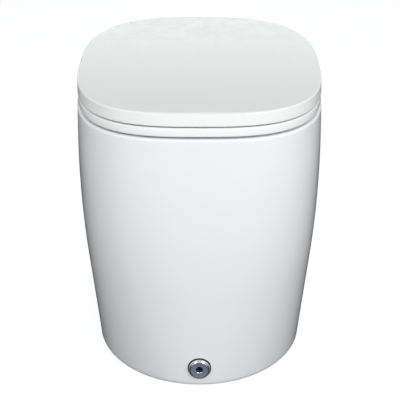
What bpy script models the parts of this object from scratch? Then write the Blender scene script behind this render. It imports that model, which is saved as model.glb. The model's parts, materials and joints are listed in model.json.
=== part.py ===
"""One-piece tankless toilet with a full-length lid, a slim seat and a foot button.

Metres, +Z up, the front faces -Y. The origin lies on the floor under the middle of
the object's length and width. Run it with blender --background --python part.py.
"""

import math

import bpy
import numpy as np
from mathutils import Matrix, Vector

# Clearances that the pieces share
GAP = 0.0003  # between two pieces that touch on the real object
RUNNING_GAP = 0.0010  # between a piece that swings and one that stays
OVERRUN = 0.010  # how far a cut runs past the face it opens

# Plan of the ceramic rim: two half superellipses that meet on the widest line
RIM_HALF_WIDTH = 0.2003
RIM_WIDEST_Y = -0.024
RIM_FRONT_REACH = 0.3185
RIM_REAR_REACH = 0.3665
RIM_FRONT_POWER = 2.94
RIM_REAR_POWER = 2.77

# Plan of the foot on the floor
FOOT_HALF_WIDTH = 0.1685
FOOT_WIDEST_Y = -0.040
FOOT_FRONT_REACH = 0.262
FOOT_REAR_REACH = 0.3525
FOOT_FRONT_POWER = 2.0
FOOT_REAR_POWER = 2.2

# Heights of the ceramic body
DECK_Z = 0.4195  # top of the rim and the rear deck
SHOULDER_SHARE = 0.8977  # of the deck's height; above it the side is upright
KNEE_SHARE = 0.3774  # below it the side leans evenly
DECK_THICKNESS = 0.018
WALL = 0.012  # glazed wall of the skirt and the bowl
DECK_EDGE_RADIUS = 0.004
FOOT_EDGE = 0.002
BODY_STEPS = 56  # points round the body, the seat and the lid

# Bowl
BOWL_HALF_WIDTH = 0.132
BOWL_WIDEST_Y = -0.075
BOWL_FRONT_REACH = 0.205
BOWL_REAR_REACH = 0.160
BOWL_POWER = 2.3
SUMP_SHARE = 0.35757  # of the deck's height, at the lowest point of the bowl's inside
SUMP_SHIFT_Y = -0.010  # the sump lies this far from the middle of the rim opening
BOWL_STEPS = 28

# Share of the bowl's depth, and of its plan, from the rim down to the sump
BOWL_DEPTH_SHARES = (0.0, 0.12, 0.28, 0.44, 0.60, 0.76, 0.90, 1.0)
BOWL_PLAN_SHARES = (1.0, 0.99, 0.95, 0.85, 0.70, 0.53, 0.40, 0.20)

# Trapway: a bore that rises from the sump over the weir and falls to the floor outlet
TRAP_BORE_RADIUS = 0.0260
TRAP_WALL = 0.009
WEIR_Y = 0.098
WEIR_SHARE = 0.61502  # of the deck's height
OUTLET_Y = 0.0375  # 305 mm in front of the rear face
OUTLET_Z = 0.012  # the ceramic spigot ends above the floor, on its seal
TRAP_ENTRY_SHARE = 2.2  # bends of the trapway, as shares of its bore's radius
TRAP_CLIMB_SHARE = 1.4
TRAP_CREST_SHARE = 1.2
TRAP_FALL_SHARE = 1.3
TRAP_RETURN_SHARE = 2.6
TRAP_SIDES = 12
TRAP_STEPS = 19

# Well in the rear deck, with a ledge that carries the tray and its cover
WELL_HALF_WIDTH = 0.105
WELL_FRONT_Y = 0.128
WELL_REAR_Y = 0.250
LEDGE_WIDTH = 0.010
LEDGE_DEPTH = 0.0065
WELL_CORNER = 0.012

# Tray, cover and the pieces of the flushing unit
TRAY_WALL = 0.0025
TRAY_DEPTH_SHARE = 0.2336  # of the deck's height
COVER_THICKNESS = 0.0030
COVER_SCREW_RADIUS = 0.0018
COVER_SCREW_HEAD_RADIUS = 0.0034
COVER_SCREW_HEAD = 0.0010
COVER_SCREW_LENGTH = 0.006
COVER_SCREW_INSET = 0.0060  # from the ledge's outer edge to the screw's axis

MANIFOLD_RADIUS = 0.016
MANIFOLD_HALF_LENGTH = 0.045
MANIFOLD_Y = 0.190
MANIFOLD_LIFT = 0.0257  # its axis above the tray's floor
MANIFOLD_FOOT_HALF_WIDTH = 0.012
SOLENOID_X = 0.028
SOLENOID_BOSS_RADIUS = 0.0125
SOLENOID_BOSS_HEIGHT = 0.022
SOLENOID_RADIUS = 0.0115
SOLENOID_HEIGHT = 0.030
RIM_PIPE_RADIUS = 0.009
JET_PIPE_RADIUS = 0.009
PIPE_WALL = 0.0018
JET_X = 0.066
JET_END_X = 0.048
JET_RISE = 0.050  # the jet's inlet above the sump
PIPE_BEND_SHARE = 2.2  # bend of the jet pipe, as a share of its radius
JET_AHEAD_SHARE = 0.3  # places along the jet pipe's low run
JET_ASIDE_SHARE = 0.4
INLET_BEND_SHARE = 1.5  # bend of the inlet elbow, as a share of its radius
INLET_X = -0.063
INLET_RADIUS = 0.0103  # half-inch pipe thread
INLET_BORE_RADIUS = 0.0065
INLET_DROP = 0.026  # below the tray's floor
INLET_NUT_RADIUS = 0.0150
INLET_NUT_HEIGHT = 0.006
BOX_WIDTH = 0.020
BOX_LENGTH = 0.088
BOX_HEIGHT_SHARE = 0.715  # of the tray's depth
BOX_EDGE = 0.002
BOX_SIDE_GAP = 0.0020  # between a box and the tray's side wall

# Access arch in the rear of the skirt, for the water supply
ARCH_HALF_WIDTH = 0.085
ARCH_HEIGHT = 0.190
ARCH_CORNER = 0.030
ARCH_FRONT_Y = 0.255

# Floor seal
SEAL_RADIUS = 0.052
SEAL_FOOT = 0.0005  # the seal stops this far above the floor

# Seat
SEAT_GROOVE = 0.0030  # between the deck and the seat
SEAT_THICKNESS = 0.0145
SEAT_INSET = 0.0015
SEAT_EDGE = 0.0030
SEAT_OPENING_HALF_WIDTH = 0.112
SEAT_OPENING_WIDEST_Y = -0.090
SEAT_OPENING_FRONT_REACH = 0.168
SEAT_OPENING_REAR_REACH = 0.140
SEAT_OPENING_POWER = 2.25
SEAT_OPENING_EDGE = 0.005
SEAT_EDGE_SHARE = 0.333  # where the seat's round edge has its middle point
OPENING_EDGE_SHARE = 0.25

# Lid
LID_GROOVE = 0.0020  # between the seat and the lid
LID_HEIGHT = 0.0210
LID_WALL = 0.0040
LID_INSET = 0.0005
LID_LOWER_EDGE = 0.0020
LID_TOP_EDGE = 0.0035
LID_GRIP_REACH = 0.0060  # depth of the finger chamfer at the middle of the front
LID_GRIP_DROP = 0.0012
LID_GRIP_HALF_WIDTH = 0.105
LID_LOWER_EDGE_SHARE = 0.333  # where the lid's lower edge has its middle point
LID_SHOULDER_SHARE = 0.5  # height of the first point of the lid's top edge
LID_SHOULDER_INSET_SHARE = 0.143
LID_CREASE_SHARE = 0.125  # height of the finger chamfer's outer line
LID_CREASE_INSET_SHARE = 0.55

# Hinge: the seat and the lid turn on one line, inside the lid's hollow
HINGE_FROM_REAR = 0.0115
HINGE_ABOVE_SEAT = 0.0050
PIN_RADIUS = 0.0030
KNUCKLE_RADIUS = 0.0065
SEAT_KNUCKLE_X = 0.0420
SEAT_KNUCKLE_WIDTH = 0.0080
ARM_X = 0.0520
ARM_WIDTH = 0.0100
LID_KNUCKLE_X = 0.0640
LID_KNUCKLE_WIDTH = 0.0100
PIN_HEAD_RADIUS = 0.0045
PIN_HEAD = 0.0020
POST_REACH = 0.0330  # from the hinge line forward to the middle of the post
POST_DEPTH = 0.0100
ARM_LOW_SHARE = 0.8  # underside of the arm, as a share of the knuckle's radius
ARM_TURN_SHARE = 0.3  # of a half turn, where the arm's round end begins
BRACKET_PLATE = 0.0030
BRACKET_LENGTH = 0.0330
BRACKET_WIDTH = 0.0220
BOLT_RADIUS = 0.0030
BOLT_HOLE_RADIUS = 0.0045
BOLT_HEAD_RADIUS = 0.0058
BOLT_HEAD = 0.0035
BOLT_BELOW_DECK = 0.0120
BOLT_FROM_PLATE_FRONT = 0.0085
NUT_RADIUS = 0.0085
NUT_HEIGHT = 0.0065
SLOT_END_GAP = 0.0050  # between the bracket and the front of the seat's slot
LID_REAR_CUT_HALF_WIDTH = 0.088
LID_REAR_CUT_DEPTH = 0.022
DAMPER_RADIUS = 0.0085
DAMPER_X = 0.0100
SADDLE_WIDTH = 0.010

# Rubber bumpers
BUMPER_SIDE_SHARE = 0.75  # of the rim's half width
BUMPER_FRONT_Y = -0.160
BUMPER_REAR_Y = 0.060
SEAT_BUMPER_RADIUS = 0.0090
LID_BUMPER_RADIUS = 0.0060
LID_BUMPER_HEIGHT = 0.0040
LID_BOSS_RADIUS = 0.0070

# Foot button, on an axis square to the leaning front wall
BUTTON_Z = 0.0307
BEZEL_RADIUS = 0.0175
BEZEL_HEIGHT = 0.0065
BEZEL_SIDE_HEIGHT = 0.0010
BEZEL_SHOULDER_RADIUS = 0.0166  # where the round shoulder meets the sloping top
BEZEL_SHOULDER_HEIGHT = 0.0046
SHOULDER_MIDDLE_SHARES = (0.25, 0.66)  # inward and upward, for its middle point
CAP_RADIUS = 0.0138
CAP_THICKNESS = 0.0024
CAP_BELOW_BEZEL = 0.0003
CAP_DISH = 0.0012  # how far its face sinks towards the lens
BUTTON_TRAVEL = 0.0025
BARREL_RADIUS = 0.0140
BARREL_BORE_RADIUS = 0.0124
LIP_WIDTH = 0.0011  # the lip at the barrel's mouth holds the cap's guide back
BARREL_LENGTH = 0.0260
STEM_LENGTH = 0.0120
STEM_RADIUS = 0.0050
LENS_RADIUS = 0.0050
LENS_RECESS = 0.0060
LENS_SUNK = 0.0046  # how far its edge lies under the cap's rim
LENS_CHAMFER = 0.0005  # sloping edge of its hole
LENS_DOME = 0.0004
LENS_EDGE_SHARE = 0.7  # radius and height of the dome's middle point
LENS_TOP_SHARE = 0.25  # radius of its flat top
GASKET_THICKNESS = 0.0010
SPOT_FACE_DEPTH = 0.0016
SPOT_FACE_RADIUS = 0.0190
BUTTON_NUT_RADIUS = 0.0200
BUTTON_NUT_HEIGHT = 0.0060
NUT_FACE_DEPTH = 0.0012  # flat seat for the nut, cut into the wall's inside
SWITCH_LENGTH = 0.0200
SWITCH_RADIUS = 0.0125
SPRING_RADIUS = 0.0085
SPRING_WIRE_RADIUS = 0.0007
SPRING_TURNS = 4
SPRING_TURN_POINTS = 8

# Cable from the button's switch to the control box
CABLE_RADIUS = 0.0022
CABLE_LIFT = 0.045  # height of its run along the skirt
CABLE_WALL_GAP = 0.0045  # between the skirt's inside and the cable's middle
CLIP_LENGTH = 0.014
CLIP_HEIGHT = 0.010
CLIP_DEPTH = 0.008
CLIP_PLACE_SHARES = (0.2, 0.5, 0.8)
CABLE_WALL_SHARES = (0.0, 0.1, 0.2, 0.3, 0.4, 0.5, 0.6, 0.7, 0.8, 0.9, 1.0)
CABLE_SLACK = 0.016  # how far the cable bows inward between the switch and the skirt
CABLE_BOW_SHARES = (0.15, 0.4, 0.7)
CABLE_FIRST_TURN_SHARE = 0.385  # of a half turn, from the side toward the front
CABLE_LAST_TURN_SHARE = 0.333  # of a half turn, from the side toward the rear
CLIP_AIM_SHARE = 0.02  # of the run, on each side of a clip, gives its direction
CABLE_RISE_SHARES = (0.08, 0.25, 0.5, 0.75)

ROUND_SIDES = 20
SMALL_SIDES = 12
PIPE_SIDES = 10
BEZEL_SIDES = 32
FACE_SIDES = 21  # odd, so that no point of the cut lies on the middle plane
CABLE_SIDES = 8
SPRING_SIDES = 6
HEXAGON_STEPS = 24  # points round a nut, four to a flat
KNUCKLE_STEPS = 8
JET_STEPS = 29
JET_CUT_POINTS = 7  # points of the jet pipe that lie near the bowl's wall
INLET_STEPS = 16
CABLE_STEPS = 58

# Levels and places that follow from the sizes above
SHOULDER_Z = DECK_Z * SHOULDER_SHARE
KNEE_Z = DECK_Z * KNEE_SHARE
SUMP_Z = DECK_Z * SUMP_SHARE
WEIR_Z = DECK_Z * WEIR_SHARE
TRAY_DEPTH = DECK_Z * TRAY_DEPTH_SHARE
BOX_HEIGHT = TRAY_DEPTH * BOX_HEIGHT_SHARE
BUMPER_X = RIM_HALF_WIDTH * BUMPER_SIDE_SHARE
SEAT_LOW_Z = DECK_Z + SEAT_GROOVE
SEAT_TOP_Z = SEAT_LOW_Z + SEAT_THICKNESS
LID_LOW_Z = SEAT_TOP_Z + LID_GROOVE
LID_TOP_Z = LID_LOW_Z + LID_HEIGHT
LID_CEILING_Z = LID_TOP_Z - LID_WALL
DECK_LOW_Z = DECK_Z - DECK_THICKNESS
LEDGE_Z = DECK_Z - LEDGE_DEPTH
FLANGE_TOP_Z = LEDGE_Z + GAP + TRAY_WALL
TRAY_LOW_Z = FLANGE_TOP_Z - TRAY_DEPTH
TRAY_FLOOR_Z = TRAY_LOW_Z + TRAY_WALL
MANIFOLD_Z = TRAY_FLOOR_Z + MANIFOLD_LIFT
REAR_Y = RIM_WIDEST_Y + RIM_REAR_REACH
FOOT_REAR_Y = FOOT_WIDEST_Y + FOOT_REAR_REACH
HINGE_Y = REAR_Y - HINGE_FROM_REAR
HINGE_Z = SEAT_TOP_Z + HINGE_ABOVE_SEAT
HINGE = Vector((0.0, HINGE_Y, HINGE_Z))
BRACKET_REAR_Y = HINGE_Y - POST_REACH + POST_DEPTH / 2
BRACKET_FRONT_Y = BRACKET_REAR_Y - BRACKET_LENGTH
BOLT_X = ARM_X - GAP + BRACKET_WIDTH / 2
BOLT_Y = BRACKET_FRONT_Y + BOLT_FROM_PLATE_FRONT
BORE_RADIUS = PIN_RADIUS + GAP
CENTRE = Vector((0.0, 0.0, 0.0))


def clear_scene():
    """Removes what a new file opens with."""
    for item in list(bpy.data.objects):
        bpy.data.objects.remove(item)


def make_material(name, colour, roughness, metallic=0.0):
    """A Principled material with one colour."""
    material = bpy.data.materials.new(name)
    material.use_nodes = True
    shader = material.node_tree.nodes["Principled BSDF"]
    shader.inputs["Base Color"].default_value = (*colour, 1.0)
    shader.inputs["Roughness"].default_value = roughness
    shader.inputs["Metallic"].default_value = metallic
    material.diffuse_color = (*colour, 1.0)
    return material


def finish_materials():
    """The finishes of the whole object, by name."""
    return {
        "glaze": make_material("white_glaze", (0.90, 0.91, 0.91), 0.08),
        "lid": make_material("white_gloss_plastic", (0.88, 0.89, 0.89), 0.15),
        "chrome": make_material("polished_chrome", (0.80, 0.81, 0.83), 0.06, 1.0),
        "satin": make_material("satin_blue_steel", (0.25, 0.30, 0.36), 0.32, 1.0),
        "lens": make_material("dark_blue_lens", (0.0, 0.01, 0.10), 0.05),
        "rubber": make_material("dark_rubber", (0.03, 0.03, 0.03), 0.7),
        "clear_rubber": make_material("pale_rubber", (0.75, 0.76, 0.74), 0.5),
        "steel": make_material("stainless_steel", (0.60, 0.60, 0.61), 0.25, 1.0),
        "brass": make_material("brass", (0.70, 0.52, 0.24), 0.28, 1.0),
        "moulding": make_material("grey_moulding", (0.42, 0.43, 0.44), 0.5),
        "dark": make_material("black_moulding", (0.04, 0.04, 0.045), 0.45),
        "pipe": make_material("white_pipe", (0.78, 0.78, 0.76), 0.45),
        "seal": make_material("outlet_rubber", (0.10, 0.10, 0.10), 0.8),
        "copper": make_material("coil_wrap", (0.36, 0.20, 0.08), 0.5),
    }


def new_object(name, points, faces, material, origin=CENTRE):
    """An object from world points, with its own origin at the place given."""
    mesh = bpy.data.meshes.new(name)
    shift = np.array(origin)
    mesh.from_pydata((np.asarray(points, dtype=float) - shift).tolist(), [], faces)
    mesh.validate()
    item = bpy.data.objects.new(name, mesh)
    bpy.context.scene.collection.objects.link(item)
    item.location = origin
    if material is not None:
        mesh.materials.append(material)
    return item


def set_smooth(item, angle_share=0.19):
    """Round sides shade smooth, and edges sharper than a share of a half turn stay sharp."""
    item.data.shade_smooth()
    item.data.set_sharp_from_angle(angle=math.pi * angle_share)
    return item


def new_empty(name, location, direction=None):
    """An empty that carries pieces, with +Z along the direction given."""
    item = bpy.data.objects.new(name, None)
    bpy.context.scene.collection.objects.link(item)
    item.location = location
    if direction is not None:
        item.rotation_mode = "QUATERNION"
        item.rotation_quaternion = Vector(direction).to_track_quat("Z", "Y")
    return item


def as_cutter(item):
    """A guide body that only shapes others."""
    item.hide_render = True
    item.display_type = "WIRE"
    return item


def apply_boolean(item, other, operation):
    """Adds or removes the other body, which stays hidden as a guide."""
    as_cutter(other)
    step = item.modifiers.new(f"{operation.lower()}_{other.name}", "BOOLEAN")
    step.operation = operation
    step.solver = "EXACT"
    step.object = other
    return item


def cut(item, *others):
    """Removes each other body."""
    for other in others:
        apply_boolean(item, other, "DIFFERENCE")
    return item


def join(item, *others):
    """Adds each other body."""
    for other in others:
        apply_boolean(item, other, "UNION")
    return item


def plan_ring(half_width, widest_y, front, rear, powers, z, steps=BODY_STEPS):
    """A level ring: at each polar angle, the point where |x/a|^n + |y/b|^n is one.

    The half in front of the widest line has the front reach and power, the half behind
    it the rear ones.
    """
    angle = np.arange(steps) * 2 * math.pi / steps
    cosine = np.cos(angle)
    sine = np.sin(angle)
    behind = sine > 0
    reach = np.where(behind, rear, front)
    power = np.where(behind, powers[1], powers[0])
    radius = (np.abs(cosine / half_width) ** power + np.abs(sine / reach) ** power) ** (-1 / power)
    return np.column_stack((radius * cosine, widest_y + radius * sine, np.full(steps, z)))


def lean_share(z):
    """0 above the shoulder, 1 at the floor: even below the knee, eased between the two."""
    middle = (SHOULDER_Z + KNEE_Z) / 2
    if z >= SHOULDER_Z:
        return 0.0
    if z <= KNEE_Z:
        return (middle - z) / middle
    return (SHOULDER_Z - z) ** 2 / (2 * (SHOULDER_Z - KNEE_Z)) / middle


def body_ring(z, inset=0.0, steps=BODY_STEPS):
    """The skirt's ring at a height, moved in by the inset."""
    share = lean_share(max(z, 0.0))

    def blend(rim, foot):
        """A value between the rim's and the foot's."""
        return rim + (foot - rim) * share

    powers = (blend(RIM_FRONT_POWER, FOOT_FRONT_POWER), blend(RIM_REAR_POWER, FOOT_REAR_POWER))
    return plan_ring(
        blend(RIM_HALF_WIDTH, FOOT_HALF_WIDTH) - inset,
        blend(RIM_WIDEST_Y, FOOT_WIDEST_Y),
        blend(RIM_FRONT_REACH, FOOT_FRONT_REACH) - inset,
        blend(RIM_REAR_REACH, FOOT_REAR_REACH) - inset,
        powers,
        z,
        steps,
    )


def rim_ring(z, inset, steps=BODY_STEPS):
    """A ring of the seat's or the lid's outline, inside the rim's by the inset."""
    return plan_ring(
        RIM_HALF_WIDTH - inset,
        RIM_WIDEST_Y,
        RIM_FRONT_REACH - inset,
        RIM_REAR_REACH - inset,
        (RIM_FRONT_POWER, RIM_REAR_POWER),
        z,
        steps,
    )


def loft(name, rings, material=None, origin=CENTRE):
    """A closed body through level rings from the lowest to the highest."""
    steps = len(rings[0])
    points = np.vstack(rings)
    faces = [list(range(steps))[::-1]]
    for level in range(len(rings) - 1):
        low = level * steps
        for k in range(steps):
            after = (k + 1) % steps
            faces.append([low + k, low + after, low + steps + after, low + steps + k])
    top = (len(rings) - 1) * steps
    faces.append(list(range(top, top + steps)))
    return new_object(name, points, faces, material, origin)


def closed_ring_body(name, rings, material=None, origin=CENTRE):
    """A ring-shaped body: each ring joins the next, and the last joins the first."""
    steps = len(rings[0])
    count = len(rings)
    points = np.vstack(rings)
    faces = []
    for level in range(count):
        low = level * steps
        high = ((level + 1) % count) * steps
        for k in range(steps):
            after = (k + 1) % steps
            faces.append([low + k, low + after, high + after, high + k])
    return new_object(name, points, faces, material, origin)


def axis_frame(start, direction):
    """The matrix that carries local +Z to the direction, at the start."""
    turn = Vector(direction).to_track_quat("Z", "Y").to_matrix().to_4x4()
    return Matrix.Translation(start) @ turn


def turned(profile, start, direction, sides):
    """Rings of a turned body about an axis: profile points are radius and distance along it."""
    matrix = axis_frame(start, direction)
    angle = np.arange(sides) * 2 * math.pi / sides
    rings = []
    for radius, along in profile:
        ring = np.column_stack((radius * np.cos(angle), radius * np.sin(angle), np.full(sides, along)))
        rings.append(np.array([matrix @ Vector(point) for point in ring]))
    return rings


def solid_round(name, profile, start, direction, material=None, sides=ROUND_SIDES):
    """A round bar with flat ends, whose profile runs from its first end to its last."""
    return set_smooth(loft(name, turned(profile, start, direction, sides), material, Vector(start)))


def hollow_round(name, profile, start, direction, material, sides=ROUND_SIDES):
    """A round ring: its profile runs up the outside and down the bore."""
    rings = turned(profile, start, direction, sides)
    return set_smooth(closed_ring_body(name, rings, material, Vector(start)))


def rounded_outline(half_x, low_y, high_y, corner, corner_steps=4):
    """A rectangle with round corners, anticlockwise seen from above."""
    points = []
    corners = (
        (half_x - corner, low_y + corner, -math.pi / 2),
        (half_x - corner, high_y - corner, 0.0),
        (-half_x + corner, high_y - corner, math.pi / 2),
        (-half_x + corner, low_y + corner, math.pi),
    )
    for x, y, start in corners:
        for k in range(corner_steps + 1):
            turn = start + k * math.pi / 2 / corner_steps
            points.append((x + corner * math.cos(turn), y + corner * math.sin(turn)))
    return points


def prism(name, outline, low, high, material=None, origin=CENTRE):
    """An upright body over an outline in X and Y."""
    rings = []
    for z in (low, high):
        rings.append(np.array([(x, y, z) for x, y in outline]))
    return loft(name, rings, material, origin)


def block(name, low, high, material=None):
    """A box between two corners."""
    outline = ((low[0], low[1]), (high[0], low[1]), (high[0], high[1]), (low[0], high[1]))
    return prism(name, outline, low[2], high[2], material)


def side_plate(name, outline, low_x, high_x):
    """A plate across X over an outline in Y and Z, anticlockwise seen from +X."""
    rings = []
    for x in (low_x, high_x):
        rings.append(np.array([(x, y, z) for y, z in outline]))
    return loft(name, rings)


def smooth_route(points, steps):
    """A smooth curve through the points (Catmull-Rom), read at even steps of its parameter."""
    route = np.array(points, dtype=float)
    padded = np.vstack((2 * route[0] - route[1], route, 2 * route[-1] - route[-2]))
    where = np.linspace(0, len(route) - 1, steps)
    index = np.minimum(where.astype(int), len(route) - 2)
    part = (where - index)[:, None]
    before, start, end, after = (padded[index + k] for k in range(4))
    return 0.5 * (
        2 * start
        + (end - before) * part
        + (2 * before - 5 * start + 4 * end - after) * part**2
        + (3 * start - before - 3 * end + after) * part**3
    )


def route_rings(route, radius, sides):
    """Rings square to a route, each turned as little as possible from the one before."""
    tangents = np.gradient(route, axis=0)
    tangents = tangents / np.linalg.norm(tangents, axis=1)[:, None]
    seed = np.array((1.0, 0.0, 0.0)) if abs(tangents[0][0]) < 0.9 else np.array((0.0, 1.0, 0.0))
    side = seed - tangents[0] * seed.dot(tangents[0])
    rings = []
    angle = np.arange(sides) * 2 * math.pi / sides
    for point, tangent in zip(route, tangents):
        side = side - tangent * side.dot(tangent)
        side = side / np.linalg.norm(side)
        other = np.cross(tangent, side)
        ring = point + radius * (np.outer(np.cos(angle), side) + np.outer(np.sin(angle), other))
        rings.append(ring)
    return rings


def rod_along(name, route, radius, sides, material=None):
    """A round rod along a route, with flat ends."""
    return set_smooth(loft(name, route_rings(route, radius, sides), material))


def pipe_along(name, route, radius, bore_radius, sides, material):
    """A round pipe along a route, open at both ends."""
    outside = route_rings(route, radius, sides)
    inside = route_rings(route, bore_radius, sides)
    return set_smooth(closed_ring_body(name, outside + inside[::-1], material))


def trap_route():
    """The trapway's middle line, from the sump over the weir to the floor outlet."""
    bore = TRAP_BORE_RADIUS
    sump_y = BOWL_WIDEST_Y + SUMP_SHIFT_Y
    entry_z = SUMP_Z + bore
    fall_z = WEIR_Z - 2 * bore
    points = (
        (0.0, sump_y + bore / 2, entry_z + bore / 2),
        (0.0, sump_y + TRAP_ENTRY_SHARE * bore, entry_z),
        (0.0, (sump_y + WEIR_Y) / 2 + TRAP_CLIMB_SHARE * bore, (entry_z + WEIR_Z) / 2),
        (0.0, WEIR_Y - TRAP_CREST_SHARE * bore, WEIR_Z - bore / 4),
        (0.0, WEIR_Y, WEIR_Z),
        (0.0, WEIR_Y + TRAP_FALL_SHARE * bore, WEIR_Z - bore),
        (0.0, WEIR_Y + TRAP_FALL_SHARE * bore, fall_z - bore / 2),
        (0.0, (WEIR_Y + OUTLET_Y) / 2 + bore / 2, fall_z - TRAP_RETURN_SHARE * bore),
        (0.0, OUTLET_Y, OUTLET_Z + 2 * bore),
        (0.0, OUTLET_Y, OUTLET_Z + bore),
        (0.0, OUTLET_Y, OUTLET_Z),
    )
    return smooth_route(points, TRAP_STEPS)


def bowl_rings(thickness, above):
    """The bowl's rings from the bottom up, moved out by a thickness, and one above the deck."""
    depth = DECK_Z - SUMP_Z
    rings = []
    for depth_share, plan_share in zip(BOWL_DEPTH_SHARES, BOWL_PLAN_SHARES):
        z = DECK_Z - depth * depth_share - thickness * depth_share
        rings.append(
            plan_ring(
                BOWL_HALF_WIDTH * plan_share + thickness,
                BOWL_WIDEST_Y + SUMP_SHIFT_Y * depth_share,
                BOWL_FRONT_REACH * plan_share + thickness,
                BOWL_REAR_REACH * plan_share + thickness,
                (BOWL_POWER, BOWL_POWER),
                z,
                BOWL_STEPS,
            )
        )
    rings = rings[::-1]
    if above > 0:
        rings.append(rings[-1] + np.array((0.0, 0.0, above)))
    return rings


def bowl_rear_y(z, x=0.0, thickness=0.0):
    """Y of the bowl's surface behind the sump, at a height and a place across."""
    share = (DECK_Z - z) / (DECK_Z - SUMP_Z)
    plan_share = float(np.interp(share, BOWL_DEPTH_SHARES, BOWL_PLAN_SHARES))
    half_width = BOWL_HALF_WIDTH * plan_share + thickness
    reach = BOWL_REAR_REACH * plan_share + thickness
    rear = reach * (1 - (x / half_width) ** BOWL_POWER) ** (1 / BOWL_POWER)
    return BOWL_WIDEST_Y + SUMP_SHIFT_Y * share + rear


def button_frame():
    """The point on the front wall where the button sits, and the wall's outward normal."""
    front = body_ring(BUTTON_Z)[:, 1].min()
    rise = SPOT_FACE_RADIUS
    slope = (body_ring(BUTTON_Z + rise)[:, 1].min() - front) / rise
    normal = Vector((0.0, -1.0, slope)).normalized()
    return Vector((0.0, front, BUTTON_Z)), normal


def jet_route():
    """The jet pipe: out of the manifold, down through the tray, forward into the bowl's side."""
    bend = PIPE_BEND_SHARE * JET_PIPE_RADIUS
    low_z = SUMP_Z + JET_RISE
    bowl_end = bowl_rear_y(low_z, JET_END_X, WALL / 2)
    ahead_y = MANIFOLD_Y + (bowl_end - MANIFOLD_Y) * JET_AHEAD_SHARE
    aside_x = JET_X + (JET_END_X - JET_X) * JET_ASIDE_SHARE
    points = (
        (MANIFOLD_HALF_LENGTH + GAP, MANIFOLD_Y, MANIFOLD_Z),
        (MANIFOLD_HALF_LENGTH + bend / 4, MANIFOLD_Y, MANIFOLD_Z),
        (JET_X - bend / 2, MANIFOLD_Y, MANIFOLD_Z),
        (JET_X, MANIFOLD_Y, MANIFOLD_Z - bend / 2),
        (JET_X, MANIFOLD_Y, TRAY_LOW_Z),
        (JET_X, MANIFOLD_Y, (TRAY_LOW_Z + low_z) / 2),
        (JET_X, MANIFOLD_Y, low_z + bend),
        (JET_X, MANIFOLD_Y - bend, low_z),
        (JET_X, ahead_y - bend, low_z),
        (aside_x, (MANIFOLD_Y + bowl_end) / 2 - bend, low_z),
        (JET_END_X, bowl_end + bend, low_z),
        (JET_END_X, bowl_end, low_z),
    )
    return smooth_route(points, JET_STEPS)


def inlet_route():
    """The inlet elbow: up through the tray's floor and across into the manifold."""
    bend = INLET_BEND_SHARE * INLET_RADIUS
    points = (
        (INLET_X, MANIFOLD_Y, TRAY_LOW_Z - INLET_DROP),
        (INLET_X, MANIFOLD_Y, TRAY_LOW_Z),
        (INLET_X, MANIFOLD_Y, MANIFOLD_Z - bend / 2),
        (INLET_X + bend / 2, MANIFOLD_Y, MANIFOLD_Z),
        (-MANIFOLD_HALF_LENGTH - bend / 4, MANIFOLD_Y, MANIFOLD_Z),
        (-MANIFOLD_HALF_LENGTH - GAP, MANIFOLD_Y, MANIFOLD_Z),
    )
    return smooth_route(points, INLET_STEPS)


def make_ceramic_body(materials):
    """The skirt with its deck, open underneath, and a place for the bowl."""
    edge = DECK_EDGE_RADIUS
    rings = [body_ring(0.0, FOOT_EDGE / 2), body_ring(FOOT_EDGE)]
    for share in (0.5, 1.0):
        rings.append(body_ring(KNEE_Z * share))
    for share in (0.2, 0.4, 0.6, 0.8, 1.0):
        rings.append(body_ring(KNEE_Z + (SHOULDER_Z - KNEE_Z) * share))
    for share in (0.0, 0.45, 1.0):
        turn = share * math.pi / 2
        rings.append(body_ring(DECK_Z - edge + edge * math.sin(turn), edge - edge * math.cos(turn)))
    body = loft("ceramic_body", rings, materials["glaze"])

    hollow = [body_ring(-OVERRUN, WALL)]
    for share in (0.0, 0.5, 1.0):
        hollow.append(body_ring(KNEE_Z * share, WALL))
    for share in (0.33, 0.67, 1.0):
        hollow.append(body_ring(KNEE_Z + (SHOULDER_Z - KNEE_Z) * share, WALL))
    hollow.append(body_ring(DECK_LOW_Z, WALL))
    cut(
        body,
        loft("cut_skirt_hollow", hollow),
        loft("cut_bowl_place", bowl_rings(WALL + GAP, OVERRUN)),
        prism("cut_well", well_outline(0.0), DECK_LOW_Z - OVERRUN, DECK_Z + OVERRUN),
        prism("cut_ledge", well_outline(-LEDGE_WIDTH), LEDGE_Z, DECK_Z + OVERRUN),
        arch_cutter(),
    )
    place, normal = button_frame()
    far = place + normal * OVERRUN
    near = place - normal * (WALL + OVERRUN)
    front_face = place - normal * SPOT_FACE_DEPTH
    nut_face = place - normal * (WALL - NUT_FACE_DEPTH)
    behind = near - normal * BUTTON_NUT_HEIGHT
    cut(
        body,
        straight_cutter("cut_button_hole", near, far, BARREL_RADIUS + 2 * GAP, FACE_SIDES),
        straight_cutter("cut_button_face", front_face, far, SPOT_FACE_RADIUS, FACE_SIDES),
        straight_cutter("cut_nut_face", behind, nut_face, BUTTON_NUT_RADIUS + RUNNING_GAP, FACE_SIDES),
    )
    for side in (-1, 1):
        low = Vector((side * BOLT_X, BOLT_Y, DECK_LOW_Z - OVERRUN))
        high = Vector((side * BOLT_X, BOLT_Y, DECK_Z + OVERRUN))
        cut(body, straight_cutter(f"cut_hinge_bolt_{side_name(side)}", low, high, BOLT_HOLE_RADIUS))
    return body


def make_bowl(materials):
    """The bowl, luted into the deck before firing, with its two water inlets."""
    bowl = loft("ceramic_bowl", bowl_rings(WALL, 0.0), materials["glaze"])
    cut(
        bowl,
        loft("cut_bowl", bowl_rings(0.0, OVERRUN)),
        trap_bore_cutter("cut_bowl_outlet"),
        rim_pipe_cutter(),
        jet_pipe_cutter(),
    )
    return bowl


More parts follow.
